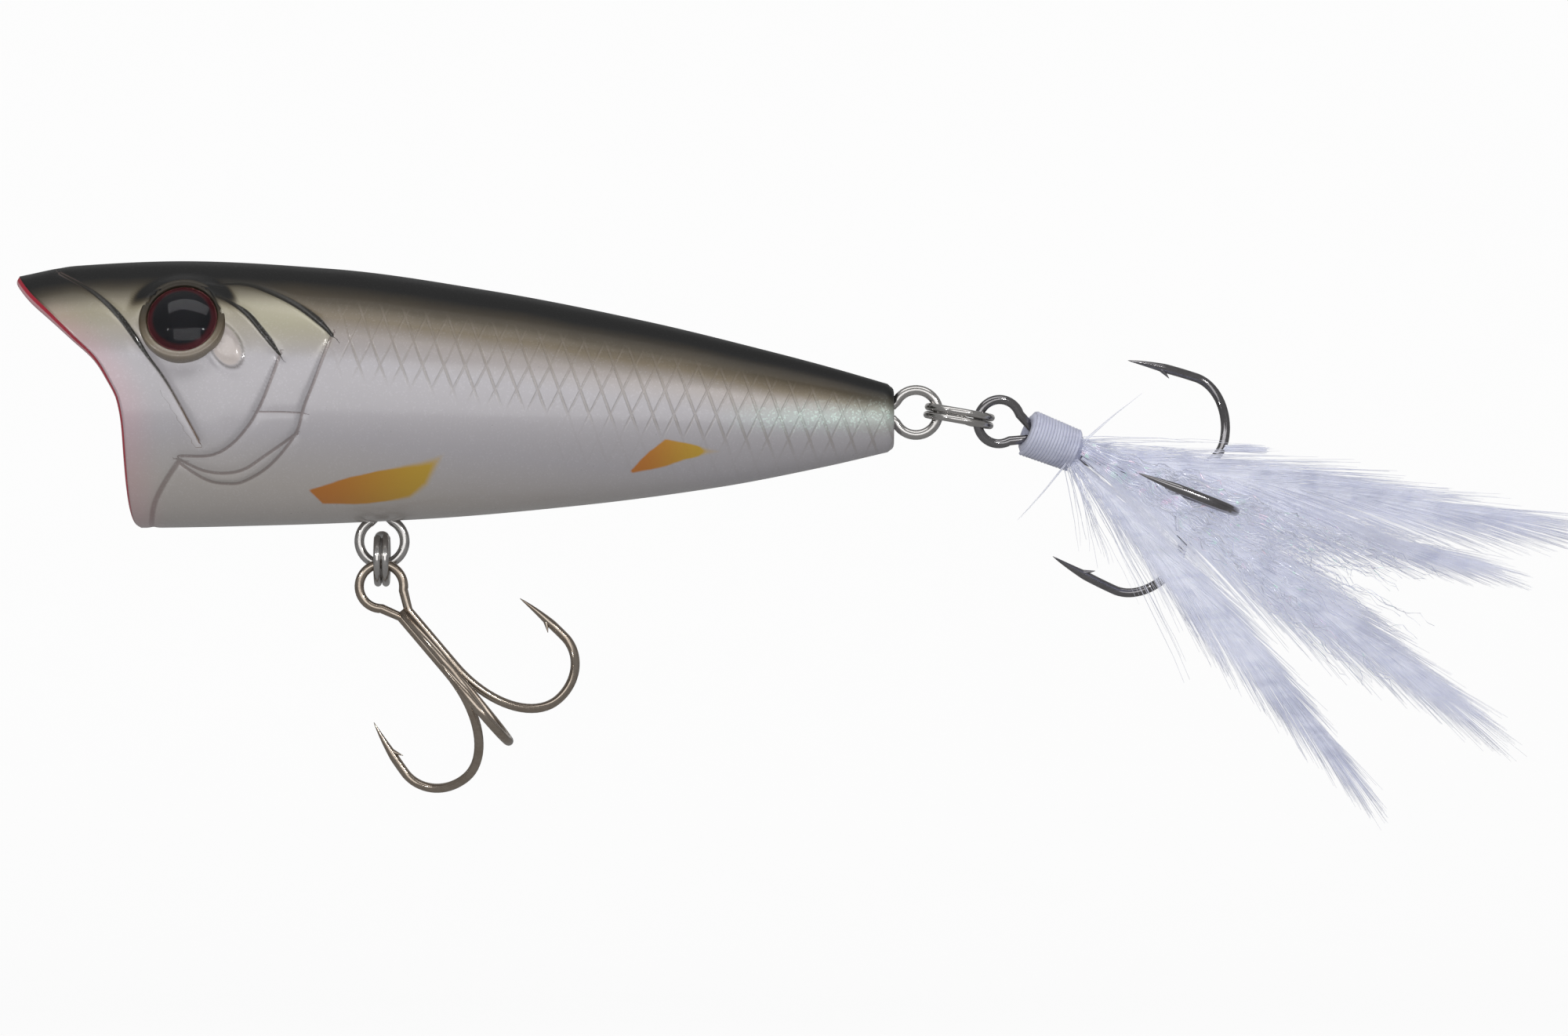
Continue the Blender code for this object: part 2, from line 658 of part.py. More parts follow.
def tail_ring_centre():
    reach = Vector((math.cos(TAIL_RING_TILT), 0, -math.sin(TAIL_RING_TILT))) * TAIL_RING_REACH
    return tail_ring_pivot() + reach


def tail_ring_rear():
    reach = Vector((math.cos(TAIL_RING_TILT), 0, -math.sin(TAIL_RING_TILT))) * TAIL_RING_RADIUS
    return tail_ring_centre() + reach


def build_rings():
    split_ring("belly_split_ring", BELLY_RING_RADIUS, belly_ring_centre(),
               Matrix.Rotation(math.pi / 2, 3, "Y") @ Matrix.Rotation(math.pi, 3, "Z"), STEEL)
    split_ring("tail_split_ring", TAIL_RING_RADIUS, tail_ring_centre(),
               Matrix.Rotation(TAIL_RING_TILT, 3, "Y") @ Matrix.Rotation(math.pi / 2, 3, "Z"), STEEL)


# ---------------------------------------------------------------- treble hooks

def shank_circle():
    """Radius of the circle that the three shank wires' centres lie on."""
    return (HOOK_WIRE + HOOK_GAP) / math.sqrt(3)


def hook_points(sizes, turn, frame):
    """One hook's centre line from the end of its straight shank to its point, and its tapers.

    turn is the hook's direction about the shank, counted from the near side."""
    start = shank_circle()
    bottom = sizes["length"] - HOOK_WIRE / 2
    widest = sizes["reach"] + HOOK_FLARE
    lowest = start + (widest - start) * BEND_CENTRE_SHARE
    shank_end = sizes["point"] + SHANK_PAST_POINT
    leg_start = bottom - BEND_RISE
    places = []
    for i in range(BEND_STEPS):
        angle = math.pi / 2 * i / BEND_STEPS
        across = lowest - (lowest - start) * math.cos(angle)
        places.append((across, shank_end + (bottom - shank_end) * math.sin(angle)))
    for i in range(BEND_STEPS - 1):
        angle = math.pi / 2 * i / (BEND_STEPS - 2)
        places.append((lowest + (widest - lowest) * math.sin(angle), leg_start + BEND_RISE * math.cos(angle)))
    leg = leg_start - sizes["point"]
    for i in range(1, LEG_STEPS + 1):
        share = i / LEG_STEPS
        inward = HOOK_FLARE * share * (LEG_EVENNESS + (1 - LEG_EVENNESS) * share)
        places.append((widest - inward, leg_start - leg * share))
    tapers = []
    for across, along in places:
        from_point = along - sizes["point"] if across > lowest else POINT_TAPER
        tapers.append(min(1.0, POINT_WIDTH + (1 - POINT_WIDTH) * max(from_point, 0.0) / POINT_TAPER))
    return [frame(across=across, along=along, turn=turn) for across, along in places], tapers


def treble(name, frame, sizes, material):
    """The double hook with its eye in one wire, and the single hook beside it."""
    first, first_tapers = hook_points(sizes, math.radians(120), frame)
    second, second_tapers = hook_points(sizes, math.radians(-120), frame)
    half = (HOOK_WIRE + HOOK_GAP) / 2
    loop = arc((0, 0), EYE_LOOP_RADIUS, EYE_LOOP_OPENING, 2 * math.pi - EYE_LOOP_OPENING, HOOK_EYE_STEPS)
    eye = [frame(in_plane=across, along=along) for along, across in loop]
    necks = [frame(in_plane=half, along=NECK_FROM_EYE), frame(in_plane=-half, along=NECK_FROM_EYE)]
    path = list(reversed(first)) + [necks[0]] + eye + [necks[1]] + second
    tapers = list(reversed(first_tapers)) + [1.0] * (len(eye) + 2) + second_tapers
    shade_round(wire(f"{name}_double_hook", path, HOOK_WIRE / 2, PARTS, material, tapers))
    third, third_tapers = hook_points(sizes, 0.0, frame)
    head = frame(across=shank_circle(), along=NECK_FROM_EYE - HOOK_WIRE / 2, turn=0.0)
    shade_round(wire(f"{name}_single_hook", [head] + third, HOOK_WIRE / 2, PARTS, material,
                     [1.0] + third_tapers))


def hook_frame(eye, axis, up):
    """A function that places points of a treble: along the shank from the eye, across it at a turn that
    starts at the near side, or in the plane of the eye."""
    near = axis.cross(up)

    def place(across=0.0, along=0.0, turn=0.0, in_plane=None):
        if in_plane is not None:
            return world(eye + axis * along + up * in_plane)
        radial = near * math.cos(turn) + up * math.sin(turn)
        return world(eye + axis * along + near * shank_circle() / 2 + radial * across)

    return place, near


def belly_treble_eye():
    ring = belly_ring_centre()
    drop = math.sqrt(BELLY_RING_RADIUS**2 - BELLY_HOOK_SIDE**2)
    return Vector((ring.x, -BELLY_HOOK_SIDE, ring.z - drop - BELLY_HOOK_DROP))


def tail_treble_eye():
    ring_reach = RING_WIRE + RING_TURN_GAP / 2
    inner = EYE_LOOP_RADIUS - HOOK_WIRE / 2
    return tail_ring_rear() + Vector((inner - ring_reach - CLEARANCE, 0, 0))


def belly_treble_axes():
    axis = Vector((math.sin(BELLY_HOOK_LEAN), 0, -math.cos(BELLY_HOOK_LEAN)))
    up = Vector((math.cos(BELLY_HOOK_LEAN), 0, math.sin(BELLY_HOOK_LEAN)))
    return axis, up


def tail_treble_axes():
    turn, droop = TAIL_HOOK_TURN, TAIL_HOOK_DROOP
    axis = Vector((math.cos(turn) * math.cos(droop), math.sin(turn), -math.cos(turn) * math.sin(droop)))
    up = Vector((math.sin(droop), 0, math.cos(droop)))
    return axis, up


def build_trebles():
    frame, _ = hook_frame(belly_treble_eye(), *belly_treble_axes())
    treble("belly", frame, BELLY_HOOK, NICKEL)
    frame, _ = hook_frame(tail_treble_eye(), *tail_treble_axes())
    treble("tail", frame, TAIL_HOOK, BLACK_NICKEL)


# ---------------------------------------------------------------- dressing

def build_wrap():
    """The thread whipping: a tube round the shank, its bore wider where the eye's wires part."""
    eye, (axis, up) = tail_treble_eye(), tail_treble_axes()
    _, near = hook_frame(eye, axis, up)
    bundle = shank_circle() + HOOK_WIRE / 2 + CLEARANCE
    mouth = WRAP_RADIUS - WRAP_MOUTH_WALL
    end = WRAP_START + WRAP_LENGTH
    neck = NECK_FROM_EYE + HOOK_WIRE / 2 + HOOK_GAP
    profile = [(mouth - CLEARANCE, -WRAP_START), (WRAP_RADIUS, -WRAP_START - WRAP_BEVEL),
               (WRAP_RADIUS, -end + WRAP_TAPER), (WRAP_RADIUS - WRAP_TAPER_DEPTH, -end), (bundle, -end),
               (bundle, -neck), (mouth - 2 * CLEARANCE, -WRAP_START)]
    turn = Matrix((up, -axis.cross(up), -axis)).transposed()
    matrix = Matrix.Translation(world(eye + near * shank_circle() / 2)) @ turn.to_4x4()
    shade_round(turned("thread_wrap", profile, matrix, PARTS, THREAD, WRAP_STEPS))


def feather(name, layer, angle, curl, length, half_width):
    """A thin tapered blade that leaves the whipping and fans out from the shank."""
    eye, (axis, up) = tail_treble_eye(), tail_treble_axes()
    _, near = hook_frame(eye, axis, up)
    origin = eye + near * shank_circle() / 2
    base = WRAP_START + WRAP_LENGTH + FEATHER_START
    slope = math.tan(math.radians(angle))
    along_length = length / math.sqrt(1 + slope * slope)
    rings = []
    for i in range(BLADE_RINGS + 1):
        share = i / BLADE_RINGS
        width = half_width * math.sin(math.pi * share**FEATHER_FULLEST)
        width += FEATHER_BASE_WIDTH * (1 - share) + FEATHER_TIP_WIDTH
        thick = FEATHER_THICKNESS / 2 * (1 - FEATHER_THINNING * share)
        rise = FEATHER_BASE_SPREAD * angle + along_length * (slope * share + curl * share * share)
        centre = origin + axis * (base + along_length * share) + near * layer + up * rise
        turns = [2 * math.pi * k / BLADE_SIDES for k in range(BLADE_SIDES)]
        rings.append([world(centre + up * width * math.cos(t) + near * thick * math.sin(t)) for t in turns])
    material = TINSEL if name == "tinsel_strands" else FEATHER
    shade_round(mesh_object(name, loft(rings, name), PARTS, material))


build_body()
build_eyes()
build_eyelets()
build_ballast()
build_rings()
build_trebles()
build_wrap()
for feather_name, sizes in FEATHERS.items():
    feather(feather_name, *sizes)
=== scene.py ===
"""Topwater popper: painted shell, eyes, wires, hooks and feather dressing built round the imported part."""

import math

import bmesh
import bpy
import numpy as np
from mathutils import Matrix, Vector


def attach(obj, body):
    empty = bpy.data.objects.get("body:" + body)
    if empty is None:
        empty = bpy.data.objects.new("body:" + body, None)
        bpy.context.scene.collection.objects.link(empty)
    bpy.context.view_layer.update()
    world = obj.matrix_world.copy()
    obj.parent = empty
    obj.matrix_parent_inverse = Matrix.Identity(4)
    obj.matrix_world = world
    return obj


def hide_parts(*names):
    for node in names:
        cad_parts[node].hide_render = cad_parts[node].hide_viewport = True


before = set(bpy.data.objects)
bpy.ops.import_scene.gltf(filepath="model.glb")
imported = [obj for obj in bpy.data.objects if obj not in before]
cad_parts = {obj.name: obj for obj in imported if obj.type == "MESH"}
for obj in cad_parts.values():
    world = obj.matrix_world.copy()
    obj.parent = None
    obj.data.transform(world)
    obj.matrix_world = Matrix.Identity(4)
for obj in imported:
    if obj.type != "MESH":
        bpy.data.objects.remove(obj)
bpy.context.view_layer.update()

bl_info = {
    "name": "Topwater Popper",
    "version": (1, 0, 0),
    "blender": (4, 5, 0),
    "location": "View3D > Sidebar > Popper",
    "description": "Builds a painted topwater popper with its split rings, treble hooks and feathered tail",
    "category": "Add Mesh",
}

MM = 0.001
LEFT, RIGHT = -1, 1
SIDES = ((LEFT, "left"), (RIGHT, "right"))

# Outlines of the body, as shares of its length and height
TOP_LINE = ((0.0, 0.520), (0.07, 0.562), (0.19, 0.579), (0.36, 0.550), (0.54, 0.468), (0.72, 0.352),
            (0.86, 0.240), (0.93, 0.179), (1.0, 0.112))
BOTTOM_LINE = ((0.0, -0.421), (0.14, -0.421), (0.30, -0.411), (0.46, -0.389), (0.64, -0.338),
               (0.80, -0.269), (0.92, -0.193), (1.0, -0.132))
SIDE_LINE = ((0.0, 0.86), (0.10, 0.93), (0.24, 1.0), (0.42, 0.96), (0.60, 0.82), (0.78, 0.61),
             (0.92, 0.41), (1.0, 0.30))
# The mouth's rim: share of the height, and millimetres behind the nose
RIM_LINE = ((-0.421, 9.75), (-0.405, 9.42), (-0.31, 9.17), (-0.17, 9.0), (-0.05, 8.85), (0.05, 8.5),
            (0.14, 7.6), (0.208, 6.7), (0.30, 4.7), (0.385, 2.8), (0.455, 1.2), (0.520, 0.0))

# Lines moulded and painted on each flank, in millimetres behind the nose and above the line tie
JAW_LINE = ((3.6, 11.4), (5.5, 10.4), (7.0, 9.4), (8.6, 7.9), (9.9, 6.2), (11.0, 4.6), (12.6, 2.4),
            (15.1, -2.1))
CHIN_LINE = ((13.4, -3.8), (12.4, -5.2), (11.4, -7.0), (10.9, -8.8))
INNER_CRESCENT = ((16.6, 9.0), (18.6, 8.1), (20.2, 6.4), (21.5, 4.7))
INNER_PLATE = ((21.5, 4.7), (20.9, 3.0), (20.0, 0.8), (19.0, -0.9), (17.6, -2.4), (16.0, -3.2), (13.6, -3.3))
OUTER_CRESCENT = ((16.6, 10.4), (18.7, 10.4), (20.7, 9.7), (22.7, 8.7), (24.4, 7.5), (25.6, 6.3))
OUTER_PLATE = ((25.6, 6.3), (24.9, 4.5), (24.2, 2.6), (23.4, 0.6), (22.7, -1.6), (20.7, -4.0), (18.6, -5.3),
               (17.2, -5.5), (15.6, -5.2), (13.6, -4.0))
MIDDLE_FOLD = ((22.7, -1.6), (20.2, -3.3), (18.6, -4.3), (17.0, -4.6), (15.3, -4.4), (13.4, -3.6))
CHEEK_LINE = ((19.9, 0.2), (21.6, 0.2), (23.4, 0.1))
PECTORAL_FIN = ((23.7, -6.0), (24.7, -7.1), (28.5, -7.0), (31.7, -6.7), (33.2, -5.7), (34.5, -3.1),
                (28.5, -4.7))
VENTRAL_FIN = ((49.3, -4.5), (50.8, -3.0), (52.0, -2.0), (56.3, -2.9), (53.4, -3.4), (52.0, -3.9))
OUTER_PLATE_FRONT = ((12.0, -2.0), (11.0, 4.0), (12.5, 9.5))
INNER_PLATE_FRONT = ((11.5, -1.0), (10.5, 4.0), (12.5, 8.6))
TEARDROP = (17.2, 5.4)
TEARDROP_SIZE = (1.35, 2.1)
TEARDROP_TURN = math.radians(-32)
# The eye's middle: millimetres behind the nose, and above the line tie
EYE_PLACE = (13.75, 7.4)
# Value of a painted line where there is none, and depth of the paint's bands below the back in millimetres
FAR_FROM_LINE = 9.0
PAINT_DEPTH = 18.0


# ---------------------------------------------------------------- sizes and colours

def length(name, description, millimetres):
    return bpy.props.FloatProperty(name=name, description=description, default=millimetres * MM,
                                   min=0.0, unit="LENGTH", subtype="DISTANCE", precision=5)


def angle(name, description, degrees):
    return bpy.props.FloatProperty(name=name, description=description, default=math.radians(degrees),
                                   unit="ROTATION", subtype="ANGLE")


def colour(name, description, value):
    return bpy.props.FloatVectorProperty(name=name, description=description, default=value,
                                         size=3, min=0.0, max=1.0, subtype="COLOR")


def count(name, description, value):
    return bpy.props.IntProperty(name=name, description=description, default=value, min=1)


class PopperBodySizes(bpy.types.PropertyGroup):
    """Sizes of the moulded shell and its eyes."""
    long: length("Length", "Nose to tail face", 70.2)
    high: length("Height", "Height that the outlines are shares of", 21.35)
    wide: length("Width", "Widest point across the flanks", 16.8)
    line_tie: length("Line tie", "From the nose back to the middle of the line tie", 11.5)
    cup_depth: length("Cup depth", "From the nose back to the deepest point of the mouth", 14.6)
    lip: length("Lip", "Thickness of the lip round the mouth", 0.9)
    shell: length("Shell", "Wall of the visible shell", 0.5)
    seam: length("Seam", "Gap between the two glued halves", 0.012)
    plate_rise: length("Gill plate rise", "How far the gill covers stand proud", 0.22)
    groove: length("Groove depth", "Depth of the moulded lines", 0.12)
    eye_radius: length("Eye radius", "Radius of the lens", 2.86)
    bezel_radius: length("Eye ring radius", "Outer radius of the moulded ring round the eye", 3.46)
    eye_tilt: angle("Eye tilt", "How far the eye looks up", 24)
    eye_yaw: angle("Eye yaw", "How far the eye looks forward", 4)


class PopperPaint(bpy.types.PropertyGroup):
    """Colours of the paint, the eyes and the metals."""
    back: colour("Back", "Along the top of the back", (0.003, 0.003, 0.003))
    olive: colour("Shoulder", "Under the back", (0.066, 0.048, 0.024))
    bronze: colour("Bronze", "Upper flank", (0.215, 0.175, 0.120))
    silver: colour("Silver", "Middle of the flank", (0.440, 0.395, 0.375))
    flank: colour("Flank", "Lower flank", (0.480, 0.460, 0.485))
    belly: colour("Belly", "Under the body", (0.520, 0.485, 0.460))
    gold: colour("Gill gold", "Gold pearl on the head", (0.500, 0.470, 0.350))
    line: colour("Gill line", "Painted gill and jaw lines", (0.012, 0.010, 0.006))
    lip: colour("Lip", "Edge of the mouth", (0.480, 0.020, 0.045))
    mouth: colour("Mouth", "Inside of the mouth", (0.560, 0.075, 0.110))
    fin_root: colour("Fin root", "Front of the fin marks", (0.560, 0.180, 0.001))
    fin_tip: colour("Fin tip", "Rear of the fin marks", (0.600, 0.370, 0.010))
    iris: colour("Iris", "Ring round the pupil", (0.075, 0.006, 0.010))
    steel: colour("Steel", "Eyelets and split rings", (0.560, 0.545, 0.530))
    nickel: colour("Bronze nickel", "Belly treble", (0.430, 0.370, 0.310))
    black_nickel: colour("Black nickel", "Tail treble", (0.270, 0.262, 0.270))
    feather: colour("Feather", "Barbs and thread", (0.830, 0.845, 0.935))


class PopperHookSizes(bpy.types.PropertyGroup):
    """Sizes of the eyelets, split rings and treble hooks."""
    eyelet_wire: length("Eyelet wire", "Diameter of the eyelets' wire", 0.80)
    ring_wire: length("Ring wire", "Diameter of the split rings' wire", 0.60)
    hook_wire: length("Hook wire", "Diameter of the hooks' wire", 0.75)
    barb: length("Barb", "Length of each barb", 1.15)
    sides: count("Wire sides", "Faces round each wire", 16)


class PopperDressing(bpy.types.PropertyGroup):
    """Sizes and numbers of the thread, barbs and strands on the tail treble."""
    wrap_turns: count("Thread turns", "Turns of the whipping", 15)
    thread: length("Thread", "Diameter of the whipping thread", 0.34)
    barbs: count("Barbs", "Barbs on each feather", 900)
    barb_radius: length("Barb radius", "Radius of a feather barb at its root", 0.055)
    hackle: count("Hackle", "Loose barbs at the whipping", 90)
    tinsel: count("Tinsel", "Crinkled strands", 46)
    seed: count("Seed", "Fixed seed of the jitter", 7)


class PopperStage(bpy.types.PropertyGroup):
    """Sizes of the stage and camera."""
    window: length("Window", "Width that the camera takes in at the body", 125.6)
    across: length("Aim across", "Middle of the view behind the line tie", 49.9)
    drop: length("Aim drop", "Middle of the view below the line tie", 8.2)
    lens: bpy.props.FloatProperty(name="Lens", description="Focal length in millimetres", default=200.0,
                                  min=20.0)
    floor: length("Floor", "Floor below the line tie", 95.0)


# ---------------------------------------------------------------- outline of the body

def smooth_value(points, t):
    """A smooth curve through (place, value) points, with its slopes limited so that it can't overshoot."""
    places = [p for p, _ in points]
    values = [v for _, v in points]
    t = min(max(t, places[0]), places[-1])
    chords = [(values[i + 1] - values[i]) / (places[i + 1] - places[i]) for i in range(len(points) - 1)]
    slopes = [chords[0]]
    for before, after in zip(chords, chords[1:]):
        slopes.append(2 * before * after / (before + after) if before * after > 0 else 0.0)
    slopes.append(chords[-1])
    i = max(k for k in range(len(places) - 1) if places[k] <= t)
    span = places[i + 1] - places[i]
    u = (t - places[i]) / span
    return ((2 * u**3 - 3 * u**2 + 1) * values[i] + (u**3 - 2 * u**2 + u) * span * slopes[i]
            + (3 * u**2 - 2 * u**3) * values[i + 1] + (u**3 - u**2) * span * slopes[i + 1])


class Outline:
    """The body's outlines in millimetres, measured from the nose."""

    squareness = 2.3

    def __init__(self, sizes):
        self.long, self.high, self.wide = sizes.long / MM, sizes.high / MM, sizes.wide / MM
        self.line_tie, self.cup = sizes.line_tie / MM, sizes.cup_depth / MM
        self.kept = {}

    def at(self, x):
        """(top, bottom, half width) at x."""
        key = round(x, 4)
        if key not in self.kept:
            share = x / self.long
            self.kept[key] = (self.high * smooth_value(TOP_LINE, share),
                              self.high * smooth_value(BOTTOM_LINE, share),
                              self.wide / 2 * smooth_value(SIDE_LINE, share))
        return self.kept[key]

    def section(self, x, turn):
        """(y, z) at x. The turn runs from the left flank over the top."""
        top, bottom, width = self.at(x)
        across, up = -math.cos(turn), math.sin(turn)
        power = 2 / self.squareness
        return (math.copysign(abs(across)**power, across) * width,
                (top + bottom) / 2 + math.copysign(abs(up)**power, up) * (top - bottom) / 2)

    def rim(self, turn):
        x = 0.0
        for _ in range(12):
            x = smooth_value(RIM_LINE, self.section(x, turn)[1] / self.high)
        return x

    def world(self, point):
        return Vector((point[0] - self.line_tie, point[1], point[2])) * MM


def eye_matrix(outline, sizes, side):
    """The eye's own frame at the skin, in millimetres from the nose, with +Z pointing out of the flank."""
    (from_nose, height), steps = EYE_PLACE, 180
    turns = [math.pi / 2 * i / steps for i in range(steps)]
    y, _ = min((outline.section(from_nose, a) for a in turns), key=lambda p: abs(p[1] - height))
    tilt, yaw = sizes.eye_tilt, sizes.eye_yaw
    outward = Vector((-math.sin(yaw), side * math.cos(tilt), math.sin(tilt))).normalized()
    turn = outward.to_track_quat("Z", "Y").to_matrix().to_4x4()
    return Matrix.Translation((from_nose, side * abs(y), height)) @ turn


def eye_place(outline, sizes, side):
    """The eye's own frame in millimetres from the line tie."""
    return Matrix.Translation((-outline.line_tie, 0, 0)) @ eye_matrix(outline, sizes, side)


def smooth_line(points, closed=False, steps=8):
    """A Catmull-Rom line through the points."""
    points = [np.array(p, float) for p in points]
    ends = (points[-1], points[0], points[1]) if closed else (2 * points[0] - points[1], None,
                                                              2 * points[-1] - points[-2])
    chain = [ends[0], *points, ends[1], ends[2]] if closed else [ends[0], *points, ends[2]]
    line = []
    for a, b, c, d in zip(chain, chain[1:], chain[2:], chain[3:]):
        for k in range(steps):
            t = k / steps
            line.append(0.5 * (2 * b + (c - a) * t + (2 * a - 5 * b + 4 * c - d) * t * t
                               + (3 * b - a - 3 * c + d) * t**3))
    if not closed:
        line.append(points[-1])
    return np.array(line)


def distance_to(line, x, z):
    """(distance, share along) from each point to the nearest point of a line, with the side as its sign."""
    best = np.full(x.shape, 1e9)
    share = np.zeros(x.shape)
    sign = np.ones(x.shape)
    total = len(line) - 1
    for i in range(total):
        a, b = line[i], line[i + 1]
        run = b - a
        t = ((x - a[0]) * run[0] + (z - a[1]) * run[1]) / max(run @ run, 1e-12)
        t = np.clip(t, 0.0, 1.0)
        dx, dz = x - (a[0] + t * run[0]), z - (a[1] + t * run[1])
        gap = np.hypot(dx, dz)
        near = gap < best
        best = np.where(near, gap, best)
        share = np.where(near, (i + t) / total, share)
        sign = np.where(near, np.sign(run[0] * dz - run[1] * dx), sign)
    return best, share, sign


def inside_distance(points, x, z, closed_smooth=True):
    """Distance to a closed outline, positive inside it."""
    line = smooth_line(points, closed=True) if closed_smooth else np.array(points, float)
    line = np.vstack([line, line[:1]])
    gap, _, _ = distance_to(line, x, z)
    inside = np.zeros(x.shape, bool)
    for a, b in zip(line, line[1:]):
        crosses = (a[1] > z) != (b[1] > z)
        at = (b[0] - a[0]) * (z - a[1]) / np.where(b[1] == a[1], 1e-9, b[1] - a[1]) + a[0]
        inside ^= crosses & (x < at)
    return np.where(inside, gap, -gap)


def step(low, high, value):
    t = np.clip((value - low) / (high - low), 0.0, 1.0)
    return t * t * (3 - 2 * t)


# ---------------------------------------------------------------- meshes

def show(name, mesh, *materials):
    obj = bpy.data.objects.new(name, mesh)
    bpy.context.scene.collection.objects.link(obj)
    for material in materials:
        obj.data.materials.append(material)
    return obj


def finish_mesh(bm, name, smooth=True, weld=0.0002):
    bmesh.ops.remove_doubles(bm, verts=bm.verts, dist=weld * MM)
    bmesh.ops.recalc_face_normals(bm, faces=bm.faces)
    mesh = bpy.data.meshes.new(name)
    bm.to_mesh(mesh)
    bm.free()
    if smooth:
        mesh.shade_smooth()
    return mesh


def lathe(name, profile, matrix, steps=72):
    """A closed profile of (radius, height) in millimetres turned about its own Z, then placed."""
    bm = bmesh.new()
    rows = []
    for k in range(steps):
        turn = 2 * math.pi * k / steps
        rows.append([bm.verts.new(matrix @ Vector((r * math.cos(turn), r * math.sin(turn), h)) * MM)
                     for r, h in profile])
    closed = min(r for r, _ in profile) > 0
    last = len(profile) if closed else len(profile) - 1
    for k in range(steps):
        here, there = rows[k], rows[(k + 1) % steps]
        for i in range(last):
            j = (i + 1) % len(profile)
            bm.faces.new((here[i], there[i], there[j], here[j]))
    bmesh.ops.remove_doubles(bm, verts=bm.verts, dist=0.0002 * MM)
    flat = [f for f in bm.faces if f.calc_area() < 1e-16]
    bmesh.ops.delete(bm, geom=flat, context="FACES")
    return finish_mesh(bm, name)


def tube(bm, points, radii, sides):
    """A round wire along the points, closed at its ends, that keeps its twist low."""
    points = [Vector(p) for p in points]
    tangents = []
    for i in range(len(points)):
        before, after = points[max(i - 1, 0)], points[min(i + 1, len(points) - 1)]
        tangents.append((after - before).normalized())
    across = tangents[0].orthogonal().normalized()
    rings = []
    for point, tangent, radius in zip(points, tangents, radii):
        across = (across - tangent * across.dot(tangent)).normalized()
        up = tangent.cross(across)
        rings.append([bm.verts.new(point + (across * math.cos(2 * math.pi * k / sides)
                                            + up * math.sin(2 * math.pi * k / sides)) * radius)
                      for k in range(sides)])
    for here, there in zip(rings, rings[1:]):
        for k in range(sides):
            j = (k + 1) % sides
            bm.faces.new((here[k], here[j], there[j], there[k]))
    bm.faces.new(list(reversed(rings[0])))
    bm.faces.new(rings[-1])


def arc(centre, radius, start, end, steps):
    return [(centre[0] + radius * math.cos(start + (end - start) * i / steps),
             centre[1] + radius * math.sin(start + (end - start) * i / steps)) for i in range(steps + 1)]


# ---------------------------------------------------------------- node helpers

def put(tree, kind, inputs=None, **settings):
    """A node with its settings made, and its inputs set or linked."""
    made = tree.nodes.new(kind)
    for key, value in settings.items():
        setattr(made, key, value)
    for key, value in (inputs or {}).items():
        if isinstance(value, bpy.types.NodeSocket):
            tree.links.new(value, made.inputs[key])
        else:
            made.inputs[key].default_value = value
    return made


def maths(tree, operation, a, b=0.0, c=0.0):
    return put(tree, "ShaderNodeMath", {0: a, 1: b, 2: c}, operation=operation).outputs[0]


def times(tree, a, b):
    return maths(tree, "MULTIPLY", a, b)


def plus(tree, a, b):
    return maths(tree, "ADD", a, b)


def scaled(tree, value, factor, offset):
    return maths(tree, "MULTIPLY_ADD", value, factor, offset)


def between(tree, value, low, high, smooth=True, first=0.0, last=1.0):
    """The first number turning into the last as the value goes from low to high."""
    kind = "SMOOTHSTEP" if smooth else "LINEAR"
    values = {"Value": value, "From Min": low, "From Max": high, "To Min": first, "To Max": last}
    return put(tree, "ShaderNodeMapRange", values, interpolation_type=kind).outputs["Result"]


def blended(tree, factor, a, b):
    """Colour a turning into colour b as the factor goes from 0 to 1."""
    colours = [c if isinstance(c, bpy.types.NodeSocket) else (*c, 1.0) for c in (a, b)]
    return put(tree, "ShaderNodeMix", {0: factor, 6: colours[0], 7: colours[1]}, data_type="RGBA").outputs[2]


def read(tree, name):
    return put(tree, "ShaderNodeAttribute", attribute_name=name).outputs["Fac"]


def place_of(tree):
    return put(tree, "ShaderNodeTexCoord").outputs["Object"]


def new_group(name, kind, inputs, outputs):
    """A node group with named inputs (type, name, value) and outputs (type, name)."""
    tree = bpy.data.node_groups.new(name, kind)
    for socket, word, value in inputs:
        made = tree.interface.new_socket(word, in_out="INPUT", socket_type=socket)
        if value is not None:
            made.default_value = value
    for socket, word in outputs:
        tree.interface.new_socket(word, in_out="OUTPUT", socket_type=socket)
    return tree, tree.nodes.new("NodeGroupInput").outputs, tree.nodes.new("NodeGroupOutput").inputs


def grain_group():
    """Fine unevenness that every finish uses: a value about a half, and a height."""
    if "fine_grain" in bpy.data.node_groups:
        return bpy.data.node_groups["fine_grain"]
    tree, given, out = new_group("fine_grain", "ShaderNodeTree",
                                 (("NodeSocketFloat", "Scale", 800.0), ("NodeSocketFloat", "Stretch", 1.0)),
                                 (("NodeSocketFloat", "Value"), ("NodeSocketFloat", "Height")))
    spread = put(tree, "ShaderNodeCombineXYZ", {0: given["Stretch"], 1: 1.0, 2: 1.0}).outputs[0]
    place = put(tree, "ShaderNodeVectorMath", {0: place_of(tree), 1: spread}, operation="MULTIPLY").outputs[0]
    noise = put(tree, "ShaderNodeTexNoise", {"Vector": place, "Scale": given["Scale"], "Detail": 3.0,
                                             "Roughness": 0.6})
    coarse = put(tree, "ShaderNodeTexNoise", {"Vector": place, "Scale": times(tree, given["Scale"], 0.11),
                                              "Detail": 2.0})
    tree.links.new(scaled(tree, coarse.outputs[0], 0.6,
                          times(tree, noise.outputs[0], 0.4)), out["Value"])
    tree.links.new(noise.outputs[0], out["Height"])
    return tree


def grained(tree, scale, stretch=1.0):
    made = put(tree, "ShaderNodeGroup", node_tree=grain_group())
    made.inputs["Scale"].default_value = scale
    made.inputs["Stretch"].default_value = stretch
    return made.outputs["Value"], made.outputs["Height"]


